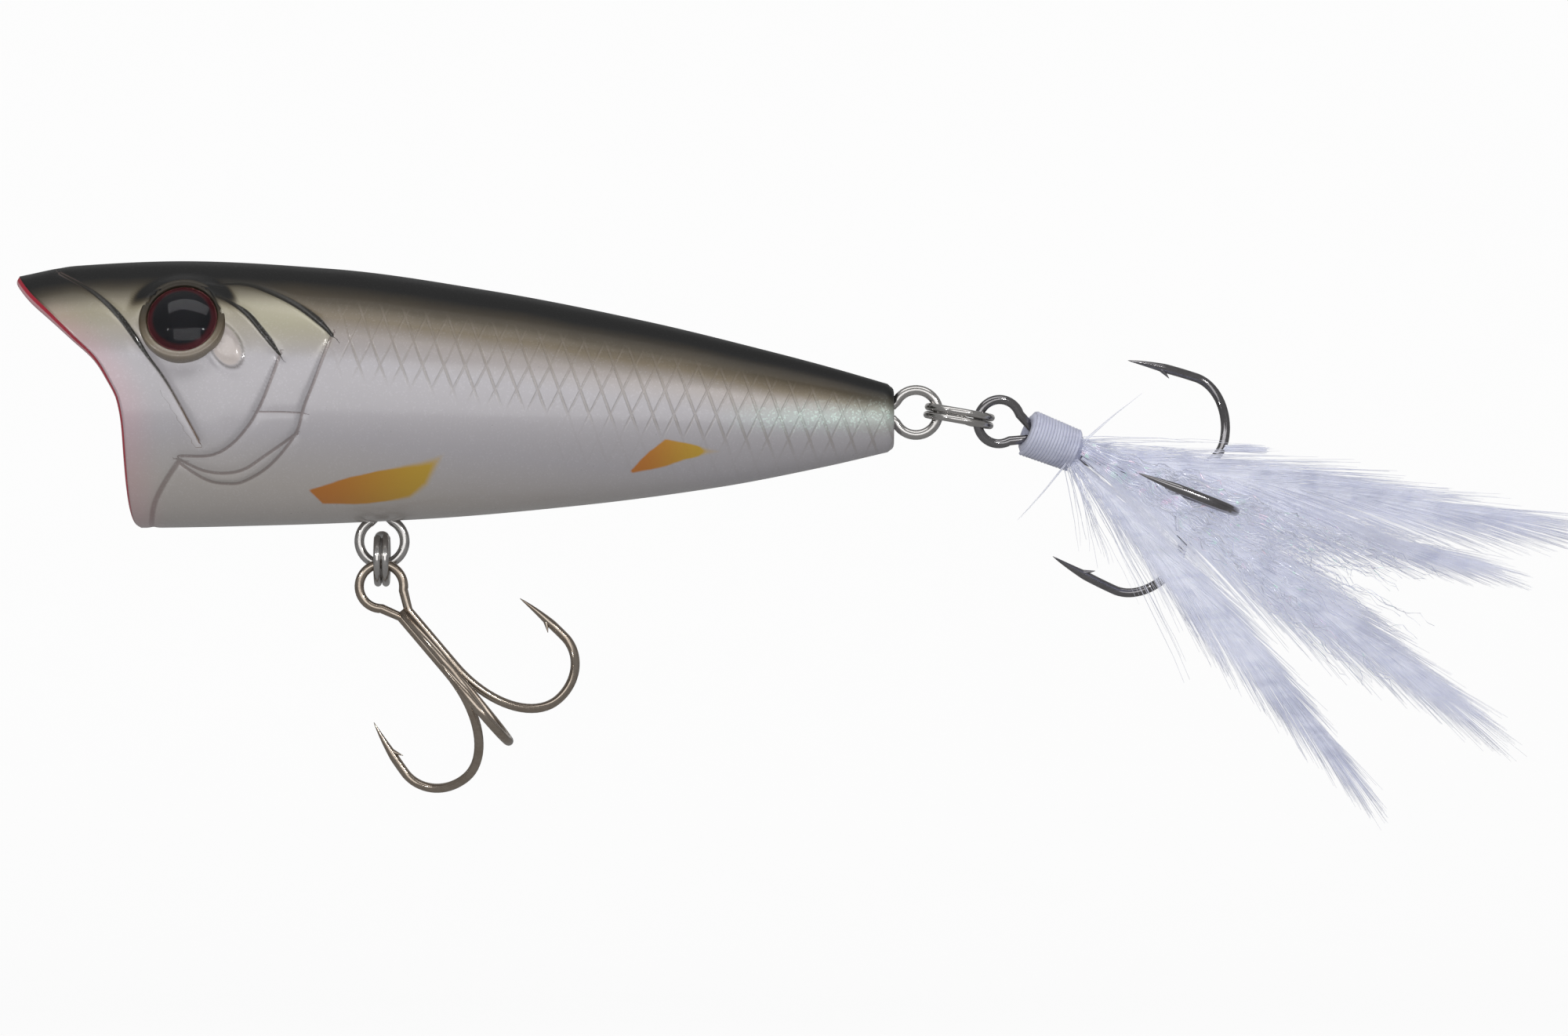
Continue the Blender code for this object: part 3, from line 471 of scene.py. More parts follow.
def new_material(name, **settings):
    """A material and its shader, with the shader's own sockets set."""
    material = bpy.data.materials.new(name)
    material.use_nodes = True
    shader = material.node_tree.nodes["Principled BSDF"]
    for key, value in settings.items():
        socket = shader.inputs[key.replace("_", " ").title().replace("Ior", "IOR")]
        socket.default_value = (*value, 1.0) if isinstance(value, tuple) else value
    return material, material.node_tree, shader


def bumped(tree, shader, height, strength, distance):
    bump = put(tree, "ShaderNodeBump", {"Height": height, "Strength": strength, "Distance": distance})
    tree.links.new(bump.outputs[0], shader.inputs["Normal"])


def speckle(tree, place, scale, share):
    """Rare bright flakes: 1 on a flake and 0 between them."""
    cells = put(tree, "ShaderNodeTexVoronoi", {"Vector": place, "Scale": scale}, feature="F1")
    tone = put(tree, "ShaderNodeSeparateColor", {0: cells.outputs["Color"]}).outputs[0]
    return between(tree, tone, 1.0 - share, 1.0)


# ---------------------------------------------------------------- paint

def engraved_lines(tree, across, pitch, width):
    """1 along parallel lines a pitch apart, 0 between them."""
    turn = maths(tree, "FRACT", maths(tree, "DIVIDE", across, pitch))
    gap = times(tree, maths(tree, "ABSOLUTE", maths(tree, "SUBTRACT", turn, 0.5)), pitch)
    return between(tree, gap, width * 0.35, width, first=1.0, last=0.0)


def painted_line(tree, word, core):
    """1 on the line that the word names, solid up to that share of its width, and 0 off it."""
    line = between(tree, maths(tree, "ABSOLUTE", read(tree, word)), core, 1.0, first=1.0, last=0.0)
    return times(tree, line, between(tree, read(tree, word + "_near"), 0.4, 0.6))


def paint_material(paint):
    material, tree, shader = new_material("pearl_paint_finish", coat_roughness=0.10, roughness=0.38)
    place = place_of(tree)
    parts = put(tree, "ShaderNodeSeparateXYZ", {0: place}).outputs
    x, z = maths(tree, "DIVIDE", parts[0], MM), maths(tree, "DIVIDE", parts[2], MM)
    wander = put(tree, "ShaderNodeTexNoise", {"Vector": place, "Scale": 160.0, "Detail": 4.0}).outputs[0]
    below = plus(tree, read(tree, "below_back"), scaled(tree, wander, 0.7, -0.35))
    shade = put(tree, "ShaderNodeValToRGB", {0: between(tree, below, 0.0, PAINT_DEPTH, smooth=False)})
    bands = ((0.0, paint.back), (1.3, paint.back), (2.8, paint.olive), (3.9, paint.bronze),
             (5.3, paint.silver), (7.5, paint.flank), (13.5, paint.flank), (17.5, paint.belly))
    ramp = shade.color_ramp
    while len(ramp.elements) < len(bands):
        ramp.elements.new(0.5)
    for element, (depth, tone) in zip(ramp.elements, bands):
        element.position = depth / PAINT_DEPTH
        element.color = (*tone, 1.0)
    tone = shade.outputs[0]
    gold = times(tree, read(tree, "gold"), between(tree, below, 1.6, 4.6))
    tone = blended(tree, gold, tone, paint.gold)
    # The teardrop behind the eye has an olive outline and a middle paler than the silver. The pale middle is
    # partly its own pale paint and partly a painted highlight on its glossy face.
    tear = read(tree, "teardrop")
    border = times(tree, between(tree, tear, 0.05, 0.25), between(tree, tear, 0.3, 0.55, first=1.0, last=0.0))
    tone = blended(tree, times(tree, border, 0.45), tone, paint.olive)
    tone = blended(tree, between(tree, tear, 0.35, 0.6), tone, tuple(1.3 * c for c in paint.silver))

    # engraved scales
    lean, cross_lean, pitch = 0.36, 0.50, 1.68
    strong = engraved_lines(tree, scaled(tree, z, lean, x), pitch, 0.16)
    faint = times(tree, engraved_lines(tree, scaled(tree, z, -cross_lean, x), pitch, 0.13), 0.7)
    scales = times(tree, maths(tree, "MAXIMUM", strong, faint), read(tree, "scales"))
    tone = blended(tree, times(tree, scales, 0.42), tone, (0.26, 0.22, 0.18))

    # fin marks
    bare = 1.0
    for name, front, rear in (("pectoral", 12.5, 22.5), ("ventral", 38.0, 44.0)):
        rear_soft = between(tree, x, front + 5.0, rear)
        edge = scaled(tree, wander, 0.7, plus(tree, read(tree, name), -0.35))
        mark = between(tree, edge, -0.10, scaled(tree, rear_soft, 0.55, 0.08))
        fin = blended(tree, between(tree, x, front, rear), paint.fin_root, paint.fin_tip)
        tone = blended(tree, times(tree, mark, 0.94), tone, fin)
        bare = times(tree, bare, maths(tree, "SUBTRACT", 1.0, mark))

    # painted lines
    fine = maths(tree, "MAXIMUM", *(painted_line(tree, word, 0.35) for word in ("fold", "inner_fold")))
    tone = blended(tree, times(tree, fine, 0.60), tone, (0.17, 0.12, 0.11))
    dark = painted_line(tree, "line", 0.6)
    faded = blended(tree, between(tree, z, -3.0, 3.5), (0.200, 0.135, 0.090), paint.line)
    tone = blended(tree, dark, tone, faded)

    # mouth
    mouth = read(tree, "mouth")
    glow = times(tree, between(tree, mouth, 0.0, 2.6, first=0.30, last=0.0),
                 between(tree, below, 2.0, 6.0))
    tone = blended(tree, glow, tone, (0.75, 0.36, 0.42))
    tone = blended(tree, between(tree, mouth, 0.08, 0.20, first=1.0, last=0.0), tone, paint.lip)
    tone = blended(tree, between(tree, mouth, -0.36, -0.22, first=1.0, last=0.0), tone, (0.72, 0.40, 0.43))
    tone = blended(tree, between(tree, mouth, -1.4, -0.9, first=1.0, last=0.0), tone, paint.mouth)

    # pearl flakes, and green and white glints near the tail
    flakes = speckle(tree, place, 9000.0, 0.22)
    pearl = times(tree, bare, between(tree, below, 2.0, 6.0))
    tone = blended(tree, times(tree, times(tree, flakes, pearl), 0.10), tone, (0.86, 0.84, 0.90))
    tone = blended(tree, times(tree, read(tree, "glint"), 0.55), tone, (0.58, 0.70, 0.66))
    glints = times(tree, read(tree, "glint"), speckle(tree, place, 7000.0, 0.35))
    tone = blended(tree, times(tree, glints, 0.6), tone, (0.80, 0.98, 0.90))
    tree.links.new(tone, shader.inputs["Base Color"])
    tree.links.new(between(tree, below, 1.0, 7.0, first=0.05, last=0.55), shader.inputs["Coat Weight"])
    metal = times(tree, between(tree, below, 2.5, 7.0, first=0.10, last=0.18),
                  between(tree, mouth, 0.0, 0.4))
    tree.links.new(metal, shader.inputs["Metallic"])
    value, height = grained(tree, 3000.0)
    rough = scaled(tree, value, 0.14, scaled(tree, flakes, -0.08, 0.30))
    rough = plus(tree, rough, between(tree, below, 0.5, 4.0, first=0.22, last=0.0))
    tree.links.new(rough, shader.inputs["Roughness"])
    cut = scaled(tree, scales, -0.55, times(tree, height, 0.05))
    cut = scaled(tree, fine, -0.35, cut)
    cut = scaled(tree, dark, -0.35, cut)
    bumped(tree, shader, cut, 0.55, 0.00012)
    return material


def metal_material(name, tone, roughness, tint, scale=5200.0):
    """Drawn and plated wire, with fine scratches and a little tarnish."""
    material, tree, shader = new_material(name, metallic=1.0)
    value, height = grained(tree, scale, 0.4)
    patches = between(tree, value, 0.42, 0.62)
    tree.links.new(blended(tree, times(tree, patches, 0.28), tuple(tone), tint), shader.inputs["Base Color"])
    tree.links.new(between(tree, value, 0.3, 0.7, first=roughness * 0.8, last=roughness * 1.25),
                   shader.inputs["Roughness"])
    bumped(tree, shader, height, 0.06, 0.00002)
    return material


def iris_material(paint):
    """Printed eye: a black pupil with a dark red ring, read from the disc's own radius."""
    material, tree, shader = new_material("iris_print_finish", roughness=0.5, specular_ior_level=0.15)
    radius = read(tree, "radius")
    value, height = grained(tree, 2500.0)
    edge = scaled(tree, value, 0.06, plus(tree, radius, -0.03))
    tone = blended(tree, between(tree, edge, 0.78, 0.90), (0.004, 0.004, 0.006), tuple(paint.iris))
    tone = blended(tree, between(tree, edge, 0.95, 0.985), tone, (0.30, 0.12, 0.11))
    tree.links.new(tone, shader.inputs["Base Color"])
    bumped(tree, shader, height, 0.1, 0.00002)
    return material


def lens_material():
    material, tree, shader = new_material("clear_lens_finish", transmission_weight=1.0, ior=1.22,
                                          base_color=(0.97, 0.97, 1.0))
    value, height = grained(tree, 900.0)
    tree.links.new(between(tree, value, 0.3, 0.7, first=0.004, last=0.014), shader.inputs["Roughness"])
    bumped(tree, shader, height, 0.02, 0.00001)
    return material


def fibre_material(name, tone, shadow, roughness, sheen=0.0, metallic=0.0, glints=0.0, glow=0.2):
    """Fine fibres: streaked tone, paler towards their tips, with a few bright glints for tinsel. The streaks
    mix in painted shadow. The glow is painted light: the fibres give off their own colour, standing in for
    light passing through them.
    """
    material, tree, shader = new_material(name, sheen_weight=sheen, metallic=metallic, emission_strength=glow)
    place = place_of(tree)
    value, height = grained(tree, 1500.0, 0.25)
    tip = read(tree, "along")
    tuft = put(tree, "ShaderNodeTexNoise", {"Vector": place, "Scale": 420.0, "Detail": 3.0}).outputs[0]
    shade = times(tree, between(tree, value, 0.34, 0.66, first=1.0, last=0.0),
                  between(tree, tuft, 0.40, 0.62, first=0.55, last=0.20))
    mixed = blended(tree, shade, tuple(tone), shadow)
    mixed = blended(tree, times(tree, tip, 0.35), mixed, (0.86, 0.87, 0.95))
    if glints:
        flakes = speckle(tree, place, 2200.0, glints)
        hue = put(tree, "ShaderNodeTexNoise", {"Vector": place, "Scale": 900.0}).outputs[0]
        flash = blended(tree, between(tree, hue, 0.42, 0.58), (0.95, 0.80, 0.95), (0.72, 0.95, 0.90))
        mixed = blended(tree, flakes, mixed, flash)
    tree.links.new(mixed, shader.inputs["Base Color"])
    # painted light: the fibres glow in their own colour, standing in for light passing through them
    tree.links.new(mixed, shader.inputs["Emission Color"])
    tree.links.new(between(tree, value, 0.3, 0.7, first=roughness * 0.8, last=min(1.0, roughness * 1.25)),
                   shader.inputs["Roughness"])
    bumped(tree, shader, height, 0.2, 0.00003)
    return material


def stage_material():
    """White paper that glows to the eye, and throws back only a little light onto the object."""
    material, tree, shader = new_material("studio_paper", roughness=0.95, emission_color=(1.0, 1.0, 1.0),
                                          specular_ior_level=0.0)
    value, height = grained(tree, 60.0)
    tree.links.new(blended(tree, value, (0.30, 0.30, 0.30), (0.34, 0.34, 0.34)), shader.inputs["Base Color"])
    seen = put(tree, "ShaderNodeLightPath").outputs["Is Camera Ray"]
    tree.links.new(scaled(tree, seen, 0.76, 0.10), shader.inputs["Emission Strength"])
    bumped(tree, shader, height, 0.03, 0.0002)
    return material


# ---------------------------------------------------------------- the shell

def relief(outline, sizes, x, z):
    """(rise in millimetres, painted attributes) of the flank at each point, seen from the side."""
    outer = inside_distance((*OUTER_CRESCENT, *OUTER_PLATE[1:], *OUTER_PLATE_FRONT), x, z)
    inner = inside_distance((*INNER_CRESCENT, *INNER_PLATE[1:], *INNER_PLATE_FRONT), x, z)
    behind = step(13.0, 17.0, x)
    rise = sizes.plate_rise / MM * behind * (step(0.0, 0.45, outer) * (1 - 0.7 * step(1.0, 5.0, outer))
                                             + step(0.0, 0.4, inner) * (1 - 0.7 * step(1.0, 5.0, inner)))
    painted = {}
    lines = np.full(x.shape, FAR_FROM_LINE)
    gate = np.zeros(x.shape)
    # each line with its half width at shares of its length
    rows = ((JAW_LINE, ((0, 0.06), (0.15, 0.16), (0.42, 0.30), (0.60, 0.28), (0.75, 0.11), (1, 0.06))),
            (INNER_CRESCENT, ((0, 0.16), (0.4, 0.32), (0.8, 0.30), (1, 0.12))),
            (OUTER_CRESCENT, ((0, 0.14), (0.4, 0.28), (0.8, 0.38), (1, 0.20))))
    for points, widths in rows:
        gap, share, sign = distance_to(smooth_line(points), x, z)
        width = np.interp(share, [w[0] for w in widths], [w[1] for w in widths])
        value = sign * gap / width
        gate = np.maximum(gate, gap < 0.75)
        lines = np.where(np.abs(value) < np.abs(lines), value, lines)
        rise = rise - 0.7 * sizes.groove / MM * np.exp(-(gap / 0.30)**2)
    painted["line"], painted["line_near"] = lines, gate
    for word, rows in (("fold", ((JAW_LINE, 0.20, 0.2), (CHIN_LINE, 0.30, 1.0), (INNER_PLATE, 0.18, 0.5),
                                 (OUTER_PLATE, 0.18, 0.5))),
                       ("inner_fold", ((MIDDLE_FOLD, 0.18, 0.8), (CHEEK_LINE, 0.10, 0.3)))):
        folds, gate = np.full(x.shape, FAR_FROM_LINE), np.zeros(x.shape)
        for points, width, depth in rows:
            gap, _, sign = distance_to(smooth_line(points), x, z)
            value = sign * gap / width
            gate = np.maximum(gate, gap < 0.45)
            folds = np.where(np.abs(value) < np.abs(folds), value, folds)
            rise = rise - sizes.groove / MM * depth * np.exp(-(gap / 0.28)**2)
        painted[word], painted[word + "_near"] = folds, gate
    painted["pectoral"] = inside_distance(PECTORAL_FIN, x, z, closed_smooth=False)
    painted["ventral"] = inside_distance(VENTRAL_FIN, x, z, closed_smooth=False)
    dx, dz = x - TEARDROP[0], z - TEARDROP[1]
    u = (dx * math.cos(TEARDROP_TURN) - dz * math.sin(TEARDROP_TURN)) / TEARDROP_SIZE[0]
    v = (dx * math.sin(TEARDROP_TURN) + dz * math.cos(TEARDROP_TURN)) / TEARDROP_SIZE[1]
    round_gap = np.hypot(u, v)
    rise = rise - 0.28 * (1 - step(0.35, 1.0, round_gap)) + 0.06 * np.exp(-((round_gap - 1.05) / 0.16)**2)
    painted["teardrop"] = 0.6 * (1 - step(0.7, 1.05, round_gap))
    wedge = step(-0.1, 0.1, outer) * step(4.0, 7.6, z) * behind
    wedge = wedge * np.where(inner > 0, 0.55, 1.0)
    snout = step(1.0, 3.5, x) * (1 - step(10.0, 13.5, x)) * step(4.5, 8.0, z) * 0.55
    painted["gold"] = np.clip(wedge + snout, 0, 1)
    edges = np.array([outline.at(v)[:2] for v in x.ravel()]).reshape((*x.shape, 2))
    slimmer = np.maximum(1.0, (18.4 / (edges[..., 0] - edges[..., 1]))**0.45)
    below = (edges[..., 0] - z) * slimmer
    painted["below_back"] = below
    flank = step(0.1, 0.8, -outer) * step(25.0, 27.5, x)
    # the scales fade out between these two depths, which change along the body
    along = (26, 50, 60, 70)
    fade_start = np.interp(x, along, (7.0, 8.5, 8.5, 7.5))
    fade_end = np.interp(x, along, (9.0, 10.5, 11.5, 10.0))
    low = 1 - step(fade_start, fade_end, below)
    painted["scales"] = np.clip(flank * (step(2.4, 4.0, below) * low + 0.16 * step(40.0, 46.0, x)
                                         * (1 - step(12.5, 14.5, below)) * step(4.0, 6.0, below)), 0, 1)
    painted["glint"] = step(55.0, 63.0, x) * np.exp(-((z + 0.2) / 0.9)**2)
    return rise, painted


def shell_grid(outline, sizes, side):
    """Rows of points of one half's face, from the tail to the bottom of the mouth, and its painted values."""
    rows, columns, tail_rows, lip_rows, cup_rows = 300, 132, 4, 8, 22
    corner, tail_round = 0.22, 0.5
    turns = [math.pi * (k / (columns - 1) - 0.5) for k in range(columns)]
    rims = [outline.rim(a) for a in turns]
    skin = []
    for i in range(rows + 1):
        share = 1 - i / rows
        row = []
        for a, rim in zip(turns, rims):
            x = rim + corner + (outline.long - tail_round - rim - corner) * share
            row.append((x, *outline.section(x, a)))
        skin.append(row)
    skin = np.array(skin)
    along, around = np.gradient(skin, axis=0), np.gradient(skin, axis=1)
    normal = np.cross(along, around)
    normal /= np.maximum(np.linalg.norm(normal, axis=2, keepdims=True), 1e-9)
    if (normal[:, columns // 2, 1] > 0).mean() > 0.5:
        normal = -normal
    rise, painted = relief(outline, sizes, skin[:, :, 0], skin[:, :, 2])
    edge_fade = step(0.0, 0.6, skin[:, :, 0] - (np.array(rims) + corner))
    skin = skin + normal * (rise * edge_fade)[:, :, None]
    eye = eye_matrix(outline, sizes, LEFT)
    inverse = np.array(eye.inverted())
    local = skin @ inverse[:3, :3].T + inverse[:3, 3]
    from_eye = np.hypot(local[:, :, 0], local[:, :, 1])
    up = np.array(eye)[:3, :3]
    above = (skin - np.array(eye.translation)) @ np.array([0.0, 0.0, 1.0])
    swell = 0.26 * (1 - step(2.9, 5.0, from_eye))
    mound = swell + 0.62 * (1 - step(3.0, 5.0, from_eye)) * step(-0.3, 2.0, above)
    near = np.abs(local[:, :, 2]) < 5.0
    skin = skin + np.where(near, mound, 0.0)[:, :, None] * up[:, 2]
    socket = near & (from_eye < sizes.eye_radius / MM + 0.14)
    local = skin @ inverse[:3, :3].T + inverse[:3, 3]
    local[:, :, 2] = np.where(socket, -1.5, local[:, :, 2])
    skin = np.where(socket[:, :, None], local @ np.array(eye)[:3, :3].T + np.array(eye.translation), skin)
    brow = (1 - step(4.1, 4.8, from_eye)) * step(0.6, 2.4, above) * near
    painted["below_back"] = painted["below_back"] * (1 - brow) + 0.4 * brow
    painted["gold"] = painted["gold"] * (1 - brow)
    painted["mouth"] = (skin[:, :, 0] - np.array(rims)) * 0.75 + 0.05
    grid = [skin]
    kinds = {name: [value] for name, value in painted.items()}
    plain = dict.fromkeys(("line_near", "fold_near", "inner_fold_near", "gold"), 0.0)

    def add(points, before, **values):
        points = np.array(points)[None, :, :]
        grid.insert(0, points) if before else grid.append(points)
        for name, kept in kinds.items():
            value = values.get(name)
            if value is None:
                value = kept[0][:1] if before else kept[-1][-1:]
            else:
                value = np.full((1, columns), float(value))
            kept.insert(0, value) if before else kept.append(value)

    for k in range(1, tail_rows + 1):
        bend = math.pi / 2 * k / tail_rows
        x = outline.long - tail_round + tail_round * math.sin(bend)
        inset = tail_round * (1 - math.cos(bend))
        ring = [outline.section(outline.long, a) for a in turns]
        spread = [max(math.hypot(y, z), 1e-6) for y, z in ring]
        add([(x, y * (1 - inset / s), z * (1 - inset / s)) for (y, z), s in zip(ring, spread)], True)
    last = grid[0][0]
    for share in (0.75, 0.5, 0.25, 0.0):
        add([(outline.long, p[1] * share, p[2] * share) for p in last], True)
    outer = [np.array((rim, *outline.section(rim, a))) for a, rim in zip(turns, rims)]
    middle = sum(p[2] for p in outer) / len(outer)
    inner = []
    for p in outer:
        inward = np.array((0.0, -p[1], middle - p[2]))
        inner.append(p + inward / max(np.linalg.norm(inward), 1e-9) * sizes.lip / MM)
    for k in range(lip_rows + 1):
        share = k / lip_rows
        back = corner * (1 - math.sin(math.pi * share))
        add([o * (1 - share) + i * share + np.array((back, 0, 0)) for o, i in zip(outer, inner)], False,
            mouth=-1.0 * share, **plain)
    for k in range(1, cup_rows + 1):
        bend = math.pi / 2 * k / cup_rows
        add([(p[0] + (outline.cup - p[0]) * math.sin(bend) + corner * math.cos(bend), p[1] * math.cos(bend),
              p[2] * math.cos(bend)) for p in inner], False, mouth=-1.0 - k, **plain)
    points = np.concatenate(grid)
    seam = sizes.seam / MM / 2
    points[:, :, 1] = -np.maximum(np.abs(points[:, :, 1]), seam)
    if side == RIGHT:
        points[:, :, 1] *= -1
    return points, {name: np.concatenate(value) for name, value in kinds.items()}


def mesh_from_grid(name, outline, points, painted):
    rows, columns, _ = points.shape
    places = (points.reshape(-1, 3) - np.array((outline.line_tie, 0, 0))) * MM
    index = np.arange(rows * columns).reshape(rows, columns)
    quads = np.stack([index[:-1, :-1], index[:-1, 1:], index[1:, 1:], index[1:, :-1]], axis=-1).reshape(-1, 4)
    mesh = bpy.data.meshes.new(name)
    mesh.from_pydata(places.tolist(), [], quads.tolist())
    for word, value in painted.items():
        attribute = mesh.attributes.new(word, "FLOAT", "POINT")
        attribute.data.foreach_set("value", value.reshape(-1).astype(np.float32))
    bm = bmesh.new()
    bm.from_mesh(mesh)
    bmesh.ops.remove_doubles(bm, verts=bm.verts, dist=0.0005 * MM)
    bmesh.ops.dissolve_degenerate(bm, edges=bm.edges, dist=0.0005 * MM)
    bm.normal_update()
    tail = max(bm.faces, key=lambda f: f.calc_center_median().x)
    if tail.normal.x < 0:
        bmesh.ops.reverse_faces(bm, faces=bm.faces)
    bm.to_mesh(mesh)
    bm.free()
    mesh.shade_smooth()
    return mesh


def settled(obj):
    """The object's mesh with its modifiers applied."""
    graph = bpy.context.evaluated_depsgraph_get()
    graph.update()
    mesh = bpy.data.meshes.new_from_object(obj.evaluated_get(graph), preserve_all_data_layers=True,
                                           depsgraph=graph)
    obj.modifiers.clear()
    obj.data = mesh
    return obj


def joined(obj, mesh, values):
    """The mesh added to the object's own. Each painted value is a number or a function of the point."""
    bm = bmesh.new()
    bm.from_mesh(obj.data)
    before = len(bm.verts)
    bm.from_mesh(mesh)
    bm.verts.ensure_lookup_table()
    for layer in bm.verts.layers.float.values():
        value = values.get(layer.name, FAR_FROM_LINE)
        for vert in bm.verts[before:]:
            vert[layer] = value(vert) if callable(value) else value
    bm.to_mesh(obj.data)
    bm.free()
    obj.data.shade_smooth()


def eye_ring(sizes, matrix):
    """The moulded ring round the eye: a wall in the socket, a round crest, and a skirt down into the skin."""
    inner, outer = sizes.eye_radius / MM - 0.06, sizes.bezel_radius / MM
    shoulder, crest, foot, skirt, divisions = 0.52, 0.10, -1.45, -0.7, 8
    reach = outer - inner
    profile = [(inner, foot), (inner, shoulder - 0.15), (inner + 0.05, shoulder)]
    for k in range(1, divisions):
        bend = math.pi * k / divisions
        profile.append((inner + reach * 0.5 - reach * 0.42 * math.cos(bend),
                        shoulder + crest * math.sin(bend)))
    profile += [(outer - 0.02, shoulder - 0.06), (outer + 0.03, shoulder - 0.24), (outer + 0.02, skirt)]
    return lathe("eye_ring", profile, matrix, 96)


class POPPER_OT_body(bpy.types.Operator):
    """Builds the two painted halves of the body with their gill covers, scales, eye rings and cupped mouth"""
    bl_idname = "popper.body"
    bl_label = "Body halves"

    def execute(self, context):
        sizes, paint = context.scene.popper_body, context.scene.popper_paint
        outline = Outline(sizes)
        finish = paint_material(paint)
        brow_line = outline.at(EYE_PLACE[0])[0]

        def ring_depth(vert):
            """Where the paint's bands fall on the eye ring: darker at its top."""
            return min(max(1.9, (brow_line - vert.co.z / MM) * 0.7 - 0.7), 4.2)

        bare = ("gold", "teardrop", "scales", "line_near", "fold_near", "inner_fold_near", "glint")
        values = {"below_back": ring_depth, "pectoral": -FAR_FROM_LINE, "ventral": -FAR_FROM_LINE,
                  **dict.fromkeys(bare, 0.0)}
        for side, word in SIDES:
            points, painted = shell_grid(outline, sizes, side)
            name = f"painted_half_{word}"
            half = show(name, mesh_from_grid(name, outline, points, painted), finish)
            wall = half.modifiers.new("shell", "SOLIDIFY")
            wall.thickness = sizes.shell
            wall.offset = -1.0
            settled(half)
            joined(half, eye_ring(sizes, eye_place(outline, sizes, side)), values)
            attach(half, "lure_body")
            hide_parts(f"body_half_{word}")
        return {"FINISHED"}


class POPPER_OT_eyes(bpy.types.Operator):
    """Builds the printed eye discs and the clear domes over them"""
    bl_idname = "popper.eyes"
    bl_label = "Eyes"

    def execute(self, context):
        sizes, paint = context.scene.popper_body, context.scene.popper_paint
        outline = Outline(sizes)
        print_finish, lens = iris_material(paint), lens_material()
        radius = sizes.eye_radius / MM - 0.08
        edge, crown, fall = 0.40, 0.92, 2.4
        lens_depth, print_depth, print_back = 0.09, 0.12, -0.04
        dome = [(radius * k / 20, edge + crown * (1 - (k / 20)**fall)) for k in range(21)]
        print_profile = [(r, h - print_depth) for r, h in dome] + [(radius, print_back), (0.0, print_back)]
        lens_profile = [(r, h - lens_depth) for r, h in dome] + dome[::-1]
        for side, word in SIDES:
            matrix = eye_place(outline, sizes, side)
            mesh = lathe(f"iris_disc_{word}", print_profile, matrix, 72)
            attribute = mesh.attributes.new("radius", "FLOAT", "POINT")
            inverse = matrix.inverted()
            local = [inverse @ (v.co / MM) for v in mesh.vertices]
            attribute.data.foreach_set("value", [math.hypot(p.x, p.y) / radius for p in local])
            disc = show(f"iris_disc_{word}", mesh, print_finish)
            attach(disc, "lure_body")
            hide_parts(f"eye_iris_{word}")
            cover = show(f"eye_lens_{word}", lathe(f"eye_lens_{word}", lens_profile, matrix, 96), lens)
            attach(cover, "lure_body")
            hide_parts(f"eye_dome_{word}")
        return {"FINISHED"}


# ---------------------------------------------------------------- wires

class Rig:
    """Where the eyelets, rings and trebles sit, in millimetres from the nose."""

    clearance, eyelet_neck, anchor_radius, anchor_depth = 0.08, 1.25, 1.45, 5.4
    line_tie_loop = 1.45
    belly_place, belly_loop, belly_reach = 29.2, 1.82, 1.60
    tail_rise, tail_loop, tail_reach = 0.25, 1.80, 1.77
    belly_ring_radius, belly_ring_rise = 1.93, 0.42
    tail_ring_radius, tail_ring_reach, tail_ring_tilt = 2.55, 1.68, math.radians(10)
    ring_gap, hook_gap = 0.04, 0.03
    eye_loop, eye_opening, neck = 1.775, math.radians(40), 2.9
    belly_eye_side, belly_eye_drop, belly_lean = 1.0, 0.55, math.radians(40.3)
    tail_droop, tail_turn = math.radians(21), math.radians(14)
    belly_hook = {"reach": 8.9, "length": 16.4, "point": 7.85}
    tail_hook = {"reach": 9.8, "length": 19.3, "point": 9.5}

    def __init__(self, outline, sizes):
        self.outline = outline
        self.wire, self.ring_wire = sizes.eyelet_wire / MM, sizes.ring_wire / MM
        self.hook_wire = sizes.hook_wire / MM
        belly = Vector((self.belly_place, 0, outline.at(self.belly_place)[1]))
        tail = Vector((outline.long, 0, self.tail_rise))
        ahead, back, down, up = Vector((-1, 0, 0)), Vector((1, 0, 0)), Vector((0, 0, -1)), Vector((0, 0, 1))
        # name: neck, way out, way across, loop radius, from the neck to the loop's middle
        self.eyelets = {
            "line_tie_eyelet": (Vector((outline.cup, 0, 0)), ahead, up, self.line_tie_loop,
                                outline.cup - outline.line_tie),
            "belly_eyelet": (belly, down, back, self.belly_loop, self.belly_reach),
            "tail_eyelet": (tail, back, up, self.tail_loop, self.tail_reach),
        }
        self.belly_ring = belly - Vector((0, 0, self.belly_reach + self.belly_loop - self.belly_ring_rise))
        tilt = self.tail_ring_tilt
        along = Vector((math.cos(tilt), 0, -math.sin(tilt)))
        self.tail_ring = tail + back * (self.tail_reach + self.tail_loop) + along * self.tail_ring_reach
        drop = math.sqrt(self.belly_ring_radius**2 - self.belly_eye_side**2) + self.belly_eye_drop
        belly_eye = self.belly_ring + Vector((0, -self.belly_eye_side, -drop))
        inside = self.eye_loop - self.hook_wire / 2
        ring_half = self.ring_wire + self.ring_gap / 2
        tail_eye = (self.tail_ring + along * self.tail_ring_radius
                    + back * (inside - ring_half - self.clearance))
        lean, droop, turn = self.belly_lean, self.tail_droop, self.tail_turn
        # each treble: its eye's middle, the way down its shank, and up in the plane of its eye
        self.belly = (belly_eye, Vector((math.sin(lean), 0, -math.cos(lean))),
                      Vector((math.cos(lean), 0, math.sin(lean))))
        self.tail = (tail_eye, Vector((math.cos(turn) * math.cos(droop), math.sin(turn),
                                       -math.cos(turn) * math.sin(droop))),
                     Vector((math.sin(droop), 0, math.cos(droop))))

    def shank_circle(self):
        return (self.hook_wire + self.hook_gap) / math.sqrt(3)

    def shank_origin(self, treble):
        eye, axis, up = treble
        return eye + axis.cross(up) * self.shank_circle() / 2


